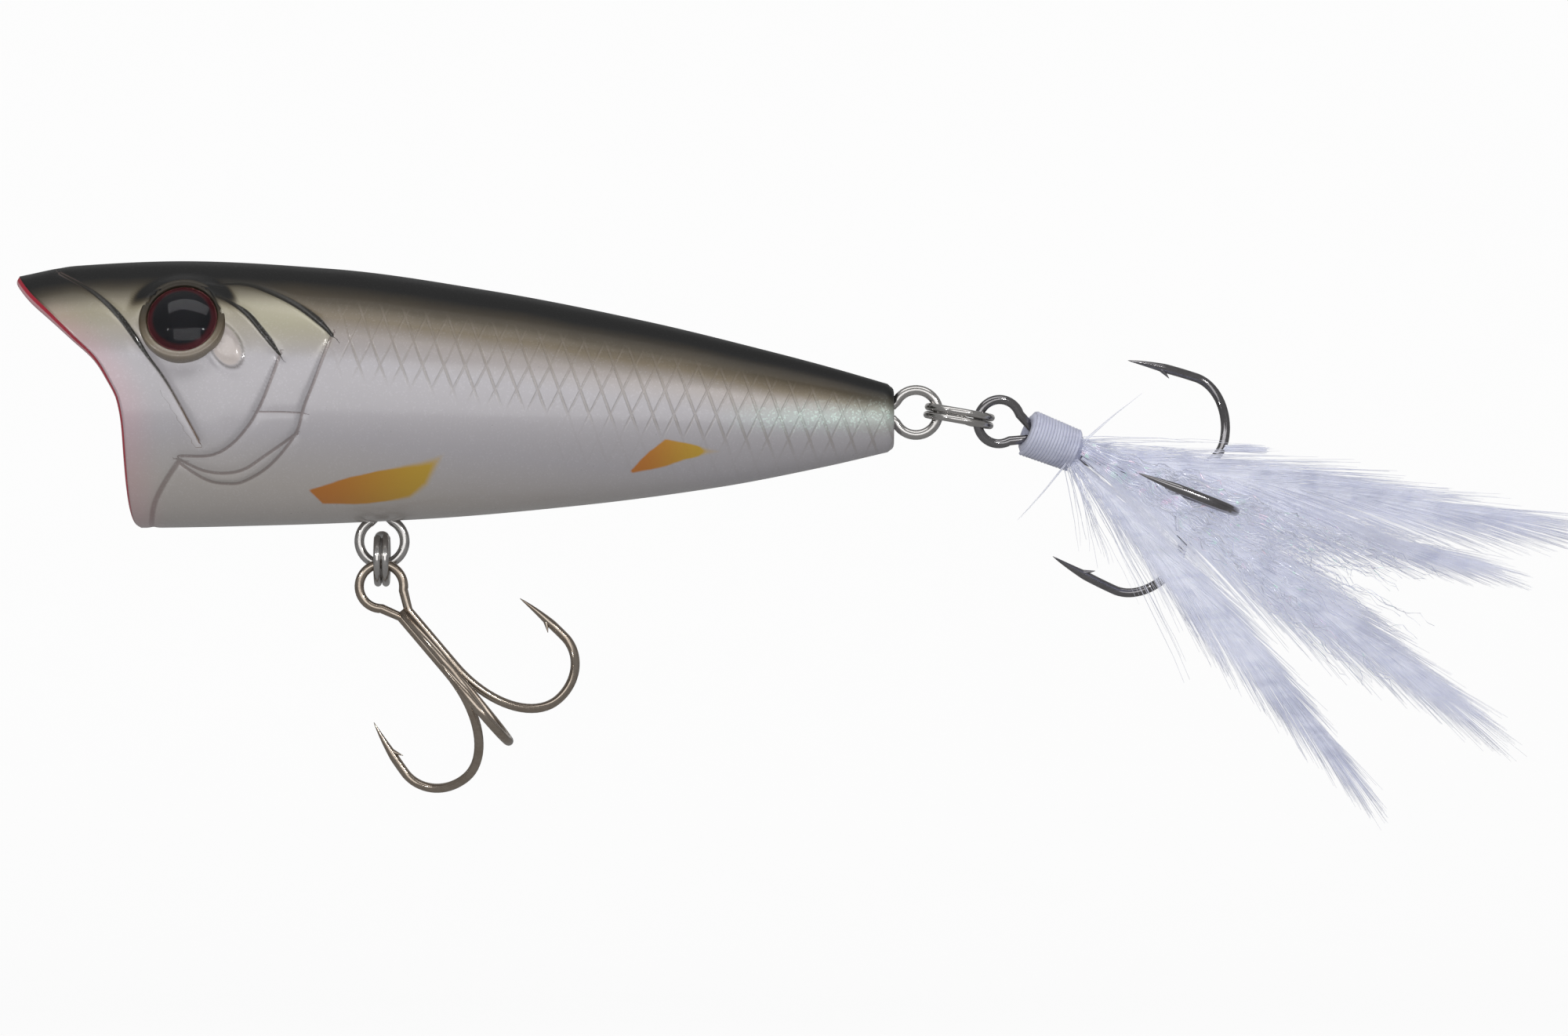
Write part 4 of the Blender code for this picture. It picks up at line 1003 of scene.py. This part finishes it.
def eyelet_points(rig, name):
    neck, away, across, radius, distance = rig.eyelets[name]
    half = rig.eyelet_neck / 2
    spread_out, spread_in = math.asin(half / radius), math.asin(half / rig.anchor_radius)
    gap = math.asin((rig.wire / 2 + rig.clearance) / rig.anchor_radius)
    inside = arc((-rig.anchor_depth, 0), rig.anchor_radius, math.pi + gap, 2 * math.pi - spread_in, 14)
    outside = arc((distance, 0), radius, -math.pi + spread_out, math.pi - spread_out, 44)
    path = inside + outside + [(a, -b) for a, b in reversed(inside)]
    return [rig.outline.world(neck + away * a + across * b) for a, b in path]


def ring_points(rig, radius, centre, turn):
    pitch = rig.ring_wire + rig.ring_gap
    slant = math.radians(26)
    start, end, steps = slant * 1.2, 4 * math.pi - slant * 1.2, 150
    points = []
    for i in range(steps + 1):
        at = start + (end - start) * i / steps
        rise = min(max((at - (2 * math.pi - slant)) / (2 * slant), 0.0), 1.0)
        height = pitch * (rise * rise * (3 - 2 * rise) - 0.5)
        place = Vector((radius * math.cos(at), radius * math.sin(at), height))
        points.append(rig.outline.world(centre + turn @ place))
    return points


class POPPER_OT_wires(bpy.types.Operator):
    """Builds the three wire eyelets and the two split rings"""
    bl_idname = "popper.wires"
    bl_label = "Eyelets and split rings"

    def execute(self, context):
        sizes, paint = context.scene.popper_hooks, context.scene.popper_paint
        rig = Rig(Outline(context.scene.popper_body), sizes)
        steel = metal_material("stainless_wire_finish", paint.steel, 0.20, (0.33, 0.31, 0.30))
        rows = [(name, "lure_body", eyelet_points(rig, name), rig.wire) for name in rig.eyelets]
        rows.append(("belly_split_ring", "belly_ring",
                     ring_points(rig, rig.belly_ring_radius, rig.belly_ring,
                                 Matrix.Rotation(math.pi / 2, 3, "Y") @ Matrix.Rotation(math.pi, 3, "Z")),
                     rig.ring_wire))
        rows.append(("tail_split_ring", "tail_ring",
                     ring_points(rig, rig.tail_ring_radius, rig.tail_ring,
                                 Matrix.Rotation(rig.tail_ring_tilt, 3, "Y")
                                 @ Matrix.Rotation(math.pi / 2, 3, "Z")),
                     rig.ring_wire))
        for name, body, points, wire in rows:
            bm = bmesh.new()
            tube(bm, points, [wire / 2 * MM] * len(points), sizes.sides)
            piece = show(f"polished_{name}", finish_mesh(bm, name), steel)
            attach(piece, body)
            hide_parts(name)
        return {"FINISHED"}


def hook_line(rig, shape, treble, turn):
    """One hook's centre line, radii and outward way, from its shank to its point."""
    _, axis, up = treble
    radial = axis.cross(up) * math.cos(turn) + up * math.sin(turn)
    origin = rig.shank_origin(treble)
    flare, bend_share, bend_rise, taper, tip_width = 0.85, 0.55, 3.3, 3.2, 0.05
    shank_steps, bend_steps, point_steps = 20, 18, 22
    start = rig.shank_circle()
    bottom = shape["length"] - rig.hook_wire / 2
    widest = shape["reach"] + flare
    lowest = start + (widest - start) * bend_share
    shank_end = shape["point"] + 0.8
    leg = bottom - bend_rise
    places = []
    for i in range(shank_steps):
        at = math.pi / 2 * i / shank_steps
        places.append((lowest - (lowest - start) * math.cos(at),
                       shank_end + (bottom - shank_end) * math.sin(at)))
    for i in range(bend_steps):
        at = math.pi / 2 * i / bend_steps
        places.append((lowest + (widest - lowest) * math.sin(at), leg + bend_rise * math.cos(at)))
    for i in range(point_steps + 1):
        share = i / point_steps
        places.append((widest - flare * share * (0.4 + 0.6 * share), leg - (leg - shape["point"]) * share))
    radii = []
    for across, along in places:
        left = along - shape["point"] if across > lowest else taper
        share = min(max(left / taper, 0.0), 1.0)
        radii.append(rig.hook_wire / 2 * (tip_width + (1 - tip_width) * share**0.8) * MM)
    line = [rig.outline.world(origin + axis * along + radial * across) for across, along in places]
    return line, radii, radial


def add_barb(bm, line, radii, radial, long):
    """A thin spur cut from the inside of the point, standing off towards the shank."""
    from_tip, steps, sides = 3.0, 5, 8
    at = min(range(len(line) // 2, len(line)), key=lambda i: abs((line[-1] - line[i]).length / MM - from_tip))
    root, radius = line[at], radii[at]
    towards_point = (line[min(at + 2, len(line) - 1)] - line[at - 2]).normalized()
    spur = []
    for k in range(steps + 1):
        share = k / steps
        forward, inward = long * (0.15 - 0.75 * share), radius * 0.35 + long * 0.60 * share
        spur.append(root + towards_point * forward - radial * inward)
    tube(bm, spur, [radius * (0.62 * (1 - k / steps) + 0.05) for k in range(steps + 1)], sides)


class POPPER_OT_hooks(bpy.types.Operator):
    """Builds both treble hooks: a double hook bent from one wire with its eye, and a hook brazed to it"""
    bl_idname = "popper.hooks"
    bl_label = "Treble hooks"

    def execute(self, context):
        sizes, paint = context.scene.popper_hooks, context.scene.popper_paint
        rig = Rig(Outline(context.scene.popper_body), sizes)
        finishes = {
            "belly": metal_material("bronze_nickel_finish", paint.nickel, 0.18, (0.20, 0.14, 0.10)),
            "tail": metal_material("black_nickel_finish", paint.black_nickel, 0.12, (0.07, 0.068, 0.072)),
        }
        for word, treble, shape in (("belly", rig.belly, rig.belly_hook), ("tail", rig.tail, rig.tail_hook)):
            eye, axis, up = treble
            first, second, third = (hook_line(rig, shape, treble, math.radians(turn))
                                    for turn in (120, -120, 0))
            half = (rig.hook_wire + rig.hook_gap) / 2
            loop = arc((0, 0), rig.eye_loop, rig.eye_opening, 2 * math.pi - rig.eye_opening, 40)
            ring = [rig.outline.world(eye + axis * along + up * across) for along, across in loop]
            necks = [rig.outline.world(eye + axis * rig.neck + up * across) for across in (half, -half)]
            path = first[0][::-1] + [necks[0]] + ring + [necks[1]] + second[0]
            radii = first[1][::-1] + [rig.hook_wire / 2 * MM] * (len(ring) + 2) + second[1]
            bm = bmesh.new()
            tube(bm, path, radii, sizes.sides)
            add_barb(bm, *first, sizes.barb)
            add_barb(bm, *second, sizes.barb)
            piece = show(f"plated_{word}_double_hook", finish_mesh(bm, "double_hook"), finishes[word])
            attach(piece, f"{word}_treble")
            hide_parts(f"{word}_double_hook")
            head = rig.outline.world(rig.shank_origin(treble) + axis * (rig.neck - rig.hook_wire / 2)
                                     + axis.cross(up) * rig.shank_circle())
            bm = bmesh.new()
            tube(bm, [head] + third[0], [rig.hook_wire / 2 * MM] + third[1], sizes.sides)
            add_barb(bm, *third, sizes.barb)
            piece = show(f"plated_{word}_single_hook", finish_mesh(bm, "single_hook"), finishes[word])
            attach(piece, f"{word}_treble")
            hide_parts(f"{word}_single_hook")
        return {"FINISHED"}


class POPPER_OT_inside(bpy.types.Operator):
    """Gives the ballast cylinders and the rattle ball their metal finishes"""
    bl_idname = "popper.inside"
    bl_label = "Ballast and rattle"

    def execute(self, context):
        lead = metal_material("ballast_metal_finish", (0.32, 0.32, 0.33), 0.45, (0.18, 0.18, 0.19), 1800.0)
        brass = metal_material("brass_finish", (0.72, 0.53, 0.24), 0.28, (0.45, 0.31, 0.12), 2200.0)
        for node, finish in (("keel_ballast", lead), ("tail_ballast", lead), ("rattle_ball", brass)):
            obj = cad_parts[node]
            if not obj.data.materials:
                obj.data.materials.append(finish)
            for index in range(len(obj.data.materials)):
                obj.data.materials[index] = finish
        return {"FINISHED"}


# ---------------------------------------------------------------- dressing

def geometry_group(name, inputs):
    rows = (("NodeSocketGeometry", "Geometry", None), *inputs, ("NodeSocketMaterial", "Finish", None))
    return new_group(name, "GeometryNodeTree", rows, (("NodeSocketGeometry", "Geometry"),))


def vary(tree, low, high, seed, salt):
    """A number drawn for each point between low and high."""
    made = put(tree, "FunctionNodeRandomValue", {"Min": low, "Max": high,
                                                 "Seed": plus(tree, seed, float(salt))}, data_type="FLOAT")
    return made.outputs["Value"] if made.outputs["Value"].enabled else made.outputs[1]


def finish_tree(tree, given, out, instances):
    real = put(tree, "GeometryNodeRealizeInstances", {"Geometry": instances}).outputs[0]
    painted = put(tree, "GeometryNodeSetMaterial", {"Geometry": real, "Material": given["Finish"]}).outputs[0]
    smooth = put(tree, "GeometryNodeSetShadeSmooth", {"Geometry": painted}).outputs[0]
    tree.links.new(smooth, out["Geometry"])


def swept(tree, curve, sides):
    """A closed mesh along a curve, as thick as the curve's own radius."""
    ring = put(tree, "GeometryNodeCurvePrimitiveCircle", {"Resolution": sides, "Radius": 1.0}).outputs[0]
    made = put(tree, "GeometryNodeCurveToMesh", {"Curve": curve, "Profile Curve": ring, "Fill Caps": True})
    if "Scale" in made.inputs:
        tree.links.new(put(tree, "GeometryNodeInputRadius").outputs[0], made.inputs["Scale"])
    return made.outputs[0]


def strand_shape(tree, segments, radius, bow):
    """One strand along X, a unit long and bowed in Z, thinning to its tip, with its share kept as 'along'."""
    line = put(tree, "GeometryNodeCurvePrimitiveLine", {"Start": (0, 0, 0), "End": (1, 0, 0)}).outputs[0]
    line = put(tree, "GeometryNodeResampleCurve", {"Curve": line, "Count": segments}).outputs[0]
    share = put(tree, "GeometryNodeSplineParameter").outputs["Factor"]
    lift = times(tree, times(tree, share, share), bow)
    offset = put(tree, "ShaderNodeCombineXYZ", {2: lift}).outputs[0]
    line = put(tree, "GeometryNodeSetPosition", {"Geometry": line, "Offset": offset}).outputs[0]
    line = put(tree, "GeometryNodeStoreNamedAttribute", {"Geometry": line, "Name": "along", "Value": share},
               data_type="FLOAT", domain="POINT").outputs[0]
    thin = times(tree, radius, scaled(tree, share, -0.75, 1.0))
    line = put(tree, "GeometryNodeSetCurveRadius", {"Curve": line, "Radius": thin}).outputs[0]
    return swept(tree, line, 3)


def barb_tree():
    """Barbs that leave a feather's quill to both sides, in the plane of X and Z."""
    tree, given, out = geometry_group("feather_barbs", (
        ("NodeSocketInt", "Barbs", 600), ("NodeSocketFloat", "Barb length", 0.014),
        ("NodeSocketFloat", "Barb angle", 0.2), ("NodeSocketFloat", "Barb radius", 0.00005),
        ("NodeSocketFloat", "Clumping", 0.1), ("NodeSocketFloat", "Depth", 0.0003),
        ("NodeSocketInt", "Seed", 1)))
    seed = given["Seed"]
    quill = put(tree, "GeometryNodeMeshToCurve", {"Mesh": given["Geometry"]}).outputs[0]
    points = put(tree, "GeometryNodeCurveToPoints", {"Curve": quill, "Count": given["Barbs"]}, mode="COUNT")
    tangent = put(tree, "ShaderNodeSeparateXYZ", {0: points.outputs["Tangent"]}).outputs
    heading = maths(tree, "ARCTAN2", tangent[2], tangent[0])
    index = put(tree, "GeometryNodeInputIndex").outputs[0]
    side = scaled(tree, maths(tree, "MODULO", index, 2.0), 2.0, -1.0)
    share = maths(tree, "DIVIDE", index, given["Barbs"])
    drift = scaled(tree, share, 34.0, times(tree, side, 50.0))
    clump = put(tree, "ShaderNodeTexNoise", {"W": drift, "Scale": 1.0, "Detail": 1.0},
                noise_dimensions="1D").outputs[0]
    swing = times(tree, plus(tree, clump, -0.5), given["Clumping"])
    spread = times(tree, given["Barb angle"], vary(tree, 0.75, 1.25, seed, 1))
    spread = times(tree, spread, scaled(tree, share, -0.95, 1.20))
    turn = plus(tree, heading, scaled(tree, side, spread, swing))
    facing = put(tree, "ShaderNodeCombineXYZ", {0: 0.0, 1: times(tree, turn, -1.0),
                                                2: vary(tree, -0.035, 0.035, seed, 2)}).outputs[0]
    shape = strand_shape(tree, 6, maths(tree, "DIVIDE", given["Barb radius"], given["Barb length"]), -0.05)
    rise = scaled(tree, share, -0.30, 1.0)
    grow = between(tree, share, 0.0, 0.25, first=0.55)
    size = times(tree, times(tree, rise, grow),
                 times(tree, given["Barb length"], vary(tree, 0.78, 1.12, seed, 3)))
    shift = put(tree, "ShaderNodeCombineXYZ", {1: times(tree, given["Depth"],
                                                        vary(tree, -1.0, 1.0, seed, 4))}).outputs[0]
    moved = put(tree, "GeometryNodeSetPosition", {"Geometry": points.outputs[0], "Offset": shift}).outputs[0]
    placed = put(tree, "GeometryNodeInstanceOnPoints",
                 {"Points": moved, "Instance": shape, "Rotation": facing, "Scale": size}).outputs[0]
    thick = times(tree, given["Barb radius"], 2.4)
    factor = put(tree, "GeometryNodeSplineParameter").outputs["Factor"]
    width = times(tree, thick, scaled(tree, factor, -0.8, 1.0))
    stem = put(tree, "GeometryNodeSetCurveRadius", {"Curve": quill, "Radius": width}).outputs[0]
    both = put(tree, "GeometryNodeJoinGeometry")
    tree.links.new(placed, both.inputs[0])
    tree.links.new(swept(tree, stem, 6), both.inputs[0])
    finish_tree(tree, given, out, both.outputs[0])
    return tree


def strand_tree():
    """A fan of loose strands from one root, in the plane of X and Z, straight or crinkled."""
    tree, given, out = geometry_group("loose_strands", (
        ("NodeSocketInt", "Strands", 60), ("NodeSocketFloat", "Length", 0.02),
        ("NodeSocketFloat", "Shortest", 0.5), ("NodeSocketFloat", "Lowest", -0.9),
        ("NodeSocketFloat", "Highest", -0.3), ("NodeSocketFloat", "Radius", 0.00005),
        ("NodeSocketFloat", "Crinkle", 0.0), ("NodeSocketFloat", "Depth", 0.0006),
        ("NodeSocketInt", "Segments", 8), ("NodeSocketInt", "Seed", 1)))
    seed = given["Seed"]
    roots = put(tree, "GeometryNodeMeshLine", {"Count": given["Strands"], "Start Location": (0, 0, 0),
                                               "Offset": (0, 0, 0)}).outputs[0]
    scatter = {axis: times(tree, given["Depth"], vary(tree, -1.0, 1.0, seed, 5 + axis)) for axis in range(3)}
    shift = put(tree, "ShaderNodeCombineXYZ", scatter).outputs[0]
    roots = put(tree, "GeometryNodeSetPosition", {"Geometry": roots, "Offset": shift}).outputs[0]
    spread = between(tree, vary(tree, 0.0, 1.0, seed, 8), 0.0, 1.0, False, given["Lowest"], given["Highest"])
    facing = put(tree, "ShaderNodeCombineXYZ", {0: 0.0, 1: times(tree, spread, -1.0),
                                                2: vary(tree, -0.05, 0.05, seed, 9)}).outputs[0]
    thickness = maths(tree, "DIVIDE", given["Radius"], given["Length"])
    shape = strand_shape(tree, given["Segments"], thickness, -0.06)
    draw = between(tree, vary(tree, 0.0, 1.0, seed, 10), 0.0, 1.0, False, given["Shortest"])
    placed = put(tree, "GeometryNodeInstanceOnPoints",
                 {"Points": roots, "Instance": shape, "Rotation": facing,
                  "Scale": times(tree, draw, given["Length"])}).outputs[0]
    real = put(tree, "GeometryNodeRealizeInstances", {"Geometry": placed}).outputs[0]
    place = put(tree, "GeometryNodeInputPosition").outputs[0]
    wave = put(tree, "ShaderNodeTexNoise", {"Vector": place, "Scale": 620.0, "Detail": 2.0}).outputs["Color"]
    centred = put(tree, "ShaderNodeVectorMath", {0: wave, 1: (0.5, 0.5, 0.5)},
                  operation="SUBTRACT").outputs[0]
    reach = put(tree, "ShaderNodeVectorMath", {0: place}, operation="LENGTH").outputs["Value"]
    power = times(tree, given["Crinkle"], maths(tree, "MINIMUM", times(tree, reach, 140.0), 1.0))
    push = put(tree, "ShaderNodeVectorMath", {0: centred, "Scale": power}, operation="SCALE").outputs[0]
    bent = put(tree, "GeometryNodeSetPosition", {"Geometry": real, "Offset": push}).outputs[0]
    finish_tree(tree, given, out, bent)
    return tree


def thread_tree():
    """Turns of thread wound round X, side by side."""
    tree, given, out = geometry_group("thread_turns", (
        ("NodeSocketFloat", "Turns", 20.0), ("NodeSocketFloat", "Start radius", 0.0019),
        ("NodeSocketFloat", "End radius", 0.0017), ("NodeSocketFloat", "Length", 0.0045),
        ("NodeSocketFloat", "Thread radius", 0.0001)))
    sizes = {"Resolution": 28, "Rotations": given["Turns"], "Start Radius": given["Start radius"],
             "End Radius": given["End radius"], "Height": given["Length"]}
    coil = put(tree, "GeometryNodeCurveSpiral", sizes).outputs[0]
    coil = put(tree, "GeometryNodeSetCurveRadius",
               {"Curve": coil, "Radius": given["Thread radius"]}).outputs[0]
    finish_tree(tree, given, out, swept(tree, coil, 6))
    return tree


def grown(name, tree, guide, values, matrix):
    """The tree's result on the guide mesh, as a plain mesh placed by the matrix."""
    obj = show(name, guide)
    modifier = obj.modifiers.new("grow", "NODES")
    modifier.node_group = tree
    for item in tree.interface.items_tree:
        if item.item_type == "SOCKET" and item.in_out == "INPUT" and item.name in values:
            modifier[item.identifier] = values[item.name]
    settled(obj)
    mesh = obj.data
    bpy.data.objects.remove(obj, do_unlink=True)
    mesh.transform(matrix)
    if matrix.determinant() < 0:
        mesh.flip_normals()
    return mesh


def merged(name, meshes, material):
    """Several plain meshes made one piece of one material."""
    bm = bmesh.new()
    for mesh in meshes:
        bm.from_mesh(mesh)
    for face in bm.faces:
        face.material_index = 0
        face.smooth = True
    data = bpy.data.meshes.new(name)
    bm.to_mesh(data)
    bm.free()
    return show(name, data, material)


# Each CAD feather's layer towards the near side, angle, curl, length, barb length and barb angle, in
# millimetres and degrees
FEATHERS = {
    "feather_upper": (1.3, 9.5, 0.05, 44.0, 17.0, 10.5),
    "feather_middle": (1.8, -9.5, -0.04, 43.0, 17.0, 10.0),
    "feather_lower": (1.3, -24.0, -0.06, 38.5, 14.0, 9.0),
    "feather_rear_upper": (-1.6, 2.5, 0.06, 40.0, 15.0, 8.0),
    "feather_rear_lower": (-2.2, -5.0, -0.12, 39.0, 16.0, 9.0),
}
BASE_SPREAD = 0.037


def quill(slope_degrees, curl, long, layer):
    """The quill's guide line in the treble's own frame, in metres. The barbs reach on past its end."""
    slope = math.tan(math.radians(slope_degrees))
    run = long / math.sqrt(1 + slope * slope)
    reach, steps = 0.74, 40
    points = []
    for i in range(steps + 1):
        share = i / steps * reach
        points.append((run * share * MM, -layer * MM,
                       (BASE_SPREAD * slope_degrees + run * (slope * share + curl * share * share)) * MM))
    mesh = bpy.data.meshes.new("quill")
    mesh.from_pydata(points, [(i, i + 1) for i in range(steps)], [])
    return mesh


def dressing_frame(rig, along):
    """The treble's own frame: X down the shank, Z up in the plane of the eye, that far from the eye."""
    _, axis, up = rig.tail
    start = rig.outline.world(rig.shank_origin(rig.tail) + axis * along)
    turn = Matrix((axis, up.cross(axis), up)).transposed()
    return Matrix.Translation(start) @ turn.to_4x4()


def root_point():
    """A mesh of one point, which strands or thread grow from."""
    mesh = bpy.data.meshes.new("root")
    mesh.from_pydata([(0, 0, 0)], [], [])
    return mesh


class POPPER_OT_dressing(bpy.types.Operator):
    """Builds the thread whipping, feathers, loose hackle and crinkled tinsel on the tail treble"""
    bl_idname = "popper.dressing"
    bl_label = "Tail dressing"

    def execute(self, context):
        sizes, paint = context.scene.popper_dressing, context.scene.popper_paint
        rig = Rig(Outline(context.scene.popper_body), context.scene.popper_hooks)
        barbs, strands, turns = barb_tree(), strand_tree(), thread_tree()
        plume = fibre_material("white_feather_finish", paint.feather, (0.40, 0.43, 0.58), 0.6, sheen=0.3)
        thread = fibre_material("white_thread_finish", (0.64, 0.66, 0.80), (0.30, 0.32, 0.46), 0.36,
                                sheen=0.1, glow=0.03)
        foil = fibre_material("pearl_tinsel_finish", (0.78, 0.80, 0.90), (0.56, 0.58, 0.74), 0.20,
                              metallic=0.35, glints=0.16)
        wrap_start, wrap_long, radius = 2.35, 4.5, 1.9
        base = wrap_start + wrap_long + 0.1
        root = dressing_frame(rig, base)
        for number, (name, (layer, slope, curl, long, barb, spread)) in enumerate(FEATHERS.items()):
            values = {"Barbs": sizes.barbs, "Barb length": barb * MM, "Barb angle": math.radians(spread),
                      "Barb radius": sizes.barb_radius, "Clumping": 0.22, "Depth": 0.12 * MM,
                      "Seed": sizes.seed + number, "Finish": plume}
            mesh = grown(name, barbs, quill(slope, curl, long, layer), values, root)
            piece = show(name.replace("feather", "plume"), mesh)
            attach(piece, "tail_treble")
            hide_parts(name)

        def fan(finish, segments, number, along, up, depth, how_many, long, shortest, lowest, highest,
                radius, crinkle, scatter):
            """Strands from one root, along the shank, above it and to the near side, in mm and degrees."""
            place = dressing_frame(rig, along) @ Matrix.Translation((0, -depth * MM, up * MM))
            values = {"Finish": finish, "Seed": sizes.seed + number, "Segments": segments,
                      "Strands": how_many, "Length": long * MM, "Shortest": shortest,
                      "Lowest": math.radians(lowest), "Highest": math.radians(highest), "Radius": radius,
                      "Crinkle": crinkle * MM, "Depth": scatter * MM}
            return grown("fan", strands, root_point(), values, place)

        hair, short_hair = sizes.barb_radius, sizes.barb_radius * 0.9
        # number, along, up, depth, strands, length, shortest, lowest, highest, radius, crinkle, scatter
        tufts = ((20, base - 0.5, -1.0, 0.9, sizes.hackle // 5, 9, 0.6, -56, -38, short_hair, 0.5, 0.5),
                 (25, base - 0.5, -0.8, 0.9, sizes.hackle // 2, 22, 0.4, -38, -14, hair, 0.5, 0.5),
                 (21, base - 0.3, 0.6, 0.9, 34, 16, 0.5, 4, 24, hair, 0.5, 0.6),
                 (22, base - 0.2, 0.8, 1.2, 2, 6.4, 0.9, 60, 64, short_hair, 0.2, 0.1),
                 (23, base - 0.9, -1.2, 1.2, 2, 6.2, 0.85, -112, -106, short_hair, 0.2, 0.1),
                 (24, 18.0, 4.6, 1.6, 60, 3.4, 0.9, 20, 24, hair, 0.1, 0.24))
        loose = [fan(plume, 10, *row) for row in tufts]
        hackle = merged("loose_hackle", loose, plume)
        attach(hackle, "tail_treble")
        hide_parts("short_hackle")
        flash = [fan(foil, 60, *row) for row in (
            (30, base, 0.4, 2.3, sizes.tinsel, 33, 0.72, -14, 6, 0.08 * MM, 2.4, 0.5),
            (31, base, 0.2, -1.0, sizes.tinsel // 2, 32, 0.8, -16, 7, 0.08 * MM, 2.4, 0.5))]
        tinsel = merged("pearl_tinsel", flash, foil)
        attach(tinsel, "tail_treble")
        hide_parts("tinsel_strands")

        axis_frame = dressing_frame(rig, wrap_start) @ Matrix.Rotation(math.pi / 2, 4, "Y")
        top, bottom, bore = radius - 0.16, radius - 0.30, 0.9
        winding = grown("thread", turns, root_point(), {
            "Turns": float(sizes.wrap_turns), "Start radius": top * MM, "End radius": bottom * MM,
            "Length": (wrap_long - 0.5) * MM, "Thread radius": sizes.thread / 2, "Finish": thread},
            axis_frame @ Matrix.Translation((0, 0, 0.2 * MM)))
        profile = [(bore, 0.0), (radius - 0.45, 0.0), (top, 0.25), (top - 0.02, wrap_long * 0.5),
                   (bottom, wrap_long - 0.6), (radius - 0.7, wrap_long + 0.15), (bore, wrap_long + 0.2)]
        local = Matrix.Scale(1 / MM, 4) @ axis_frame @ Matrix.Scale(MM, 4)
        core = lathe("wrap_core", profile, local, 48)
        whipping = merged("thread_whipping", (core, winding), thread)
        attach(whipping, "tail_treble")
        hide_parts("thread_wrap")
        return {"FINISHED"}


# ---------------------------------------------------------------- stage

def soft_light(name, place, aim, size, power):
    light = bpy.data.lights.new(name, "AREA")
    light.shape = "RECTANGLE"
    light.size, light.size_y = size
    light.energy = power
    obj = bpy.data.objects.new(name, light)
    obj.location = place
    obj.rotation_euler = (Vector(aim) - Vector(place)).to_track_quat("-Z", "Y").to_euler()
    bpy.context.scene.collection.objects.link(obj)


class POPPER_OT_stage(bpy.types.Operator):
    """Sets the pale floor, the soft lights and the camera"""
    bl_idname = "popper.stage"
    bl_label = "Stage and camera"

    def execute(self, context):
        stage = context.scene.popper_stage
        scene = context.scene
        bm = bmesh.new()
        reach, rise, bend, steps, half_width = 1.2, 1.6, 0.35, 16, 2.0
        line = [(-reach, 0.0)]
        line += [(reach - bend + bend * math.sin(math.pi / 2 * k / steps),
                  bend - bend * math.cos(math.pi / 2 * k / steps)) for k in range(steps + 1)]
        line.append((reach, rise))
        rows = [[bm.verts.new((x, y, z - stage.floor)) for y, z in line] for x in (-half_width, half_width)]
        for k in range(len(line) - 1):
            bm.faces.new((rows[0][k], rows[1][k], rows[1][k + 1], rows[0][k + 1]))
        floor = show("studio_sweep", finish_mesh(bm, "studio_sweep"), stage_material())
        middle = (stage.across, 0.0, -stage.drop)
        head, spark = (0.0, 0.0, 0.0), (0.03, 0.03)
        for row in (("top_box", (0.05, -0.22, 0.58), middle, (0.8, 0.30), 1.3),
                    ("front_box", (0.05, -0.95, 0.03), middle, (1.0, 0.7), 3.2),
                    ("left_spark", (-0.32, -0.42, 0.16), head, spark, 0.32),
                    ("right_spark", (0.32, -0.42, 0.16), head, spark, 0.32),
                    ("rim_box", (0.1, 0.55, 0.20), middle, (0.8, 0.4), 0.3)):
            soft_light(*row)
        world = bpy.data.worlds.new("studio")
        world.use_nodes = True
        sky = world.node_tree.nodes["Background"].inputs
        sky["Color"].default_value = (1.0, 1.0, 1.0, 1.0)
        sky["Strength"].default_value = 0.30
        scene.world = world
        scene.view_settings.view_transform = "Standard"
        camera = bpy.data.cameras.new("studio_camera")
        camera.lens = stage.lens
        camera.clip_end = 20.0
        camera.dof.use_dof = False
        obj = bpy.data.objects.new("studio_camera", camera)
        away = stage.lens / camera.sensor_width * stage.window
        obj.location = (stage.across, -away, -stage.drop)
        obj.rotation_euler = (math.pi / 2, 0.0, 0.0)
        scene.collection.objects.link(obj)
        scene.camera = obj
        return {"FINISHED"}


class POPPER_PT_panel(bpy.types.Panel):
    """Lists the popper's pieces in build order"""
    bl_label = "Topwater Popper"
    bl_idname = "POPPER_PT_panel"
    bl_space_type = "VIEW_3D"
    bl_region_type = "UI"
    bl_category = "Popper"

    def draw(self, context):
        layout = self.layout
        for operator in OPERATORS:
            layout.operator(operator.bl_idname)
        for _, word in GROUPS:
            group = getattr(context.scene, word)
            box = layout.box()
            for name in group.bl_rna.properties.keys():
                if name not in ("rna_type", "name"):
                    box.prop(group, name)


GROUPS = ((PopperBodySizes, "popper_body"), (PopperPaint, "popper_paint"), (PopperHookSizes, "popper_hooks"),
          (PopperDressing, "popper_dressing"), (PopperStage, "popper_stage"))
OPERATORS = (POPPER_OT_body, POPPER_OT_eyes, POPPER_OT_wires, POPPER_OT_hooks, POPPER_OT_inside,
             POPPER_OT_dressing, POPPER_OT_stage)


def register():
    for group, word in GROUPS:
        bpy.utils.register_class(group)
        setattr(bpy.types.Scene, word, bpy.props.PointerProperty(type=group))
    for cls in (*OPERATORS, POPPER_PT_panel):
        bpy.utils.register_class(cls)


def unregister():
    for cls in reversed((*OPERATORS, POPPER_PT_panel)):
        bpy.utils.unregister_class(cls)
    for group, word in reversed(GROUPS):
        delattr(bpy.types.Scene, word)
        bpy.utils.unregister_class(group)


def main():
    register()
    bpy.ops.popper.body()
    bpy.ops.popper.eyes()
    bpy.ops.popper.wires()
    bpy.ops.popper.hooks()
    bpy.ops.popper.inside()
    bpy.ops.popper.dressing()
    bpy.ops.popper.stage()
    bpy.context.view_layer.update()


if __name__ == "__main__":
    main()
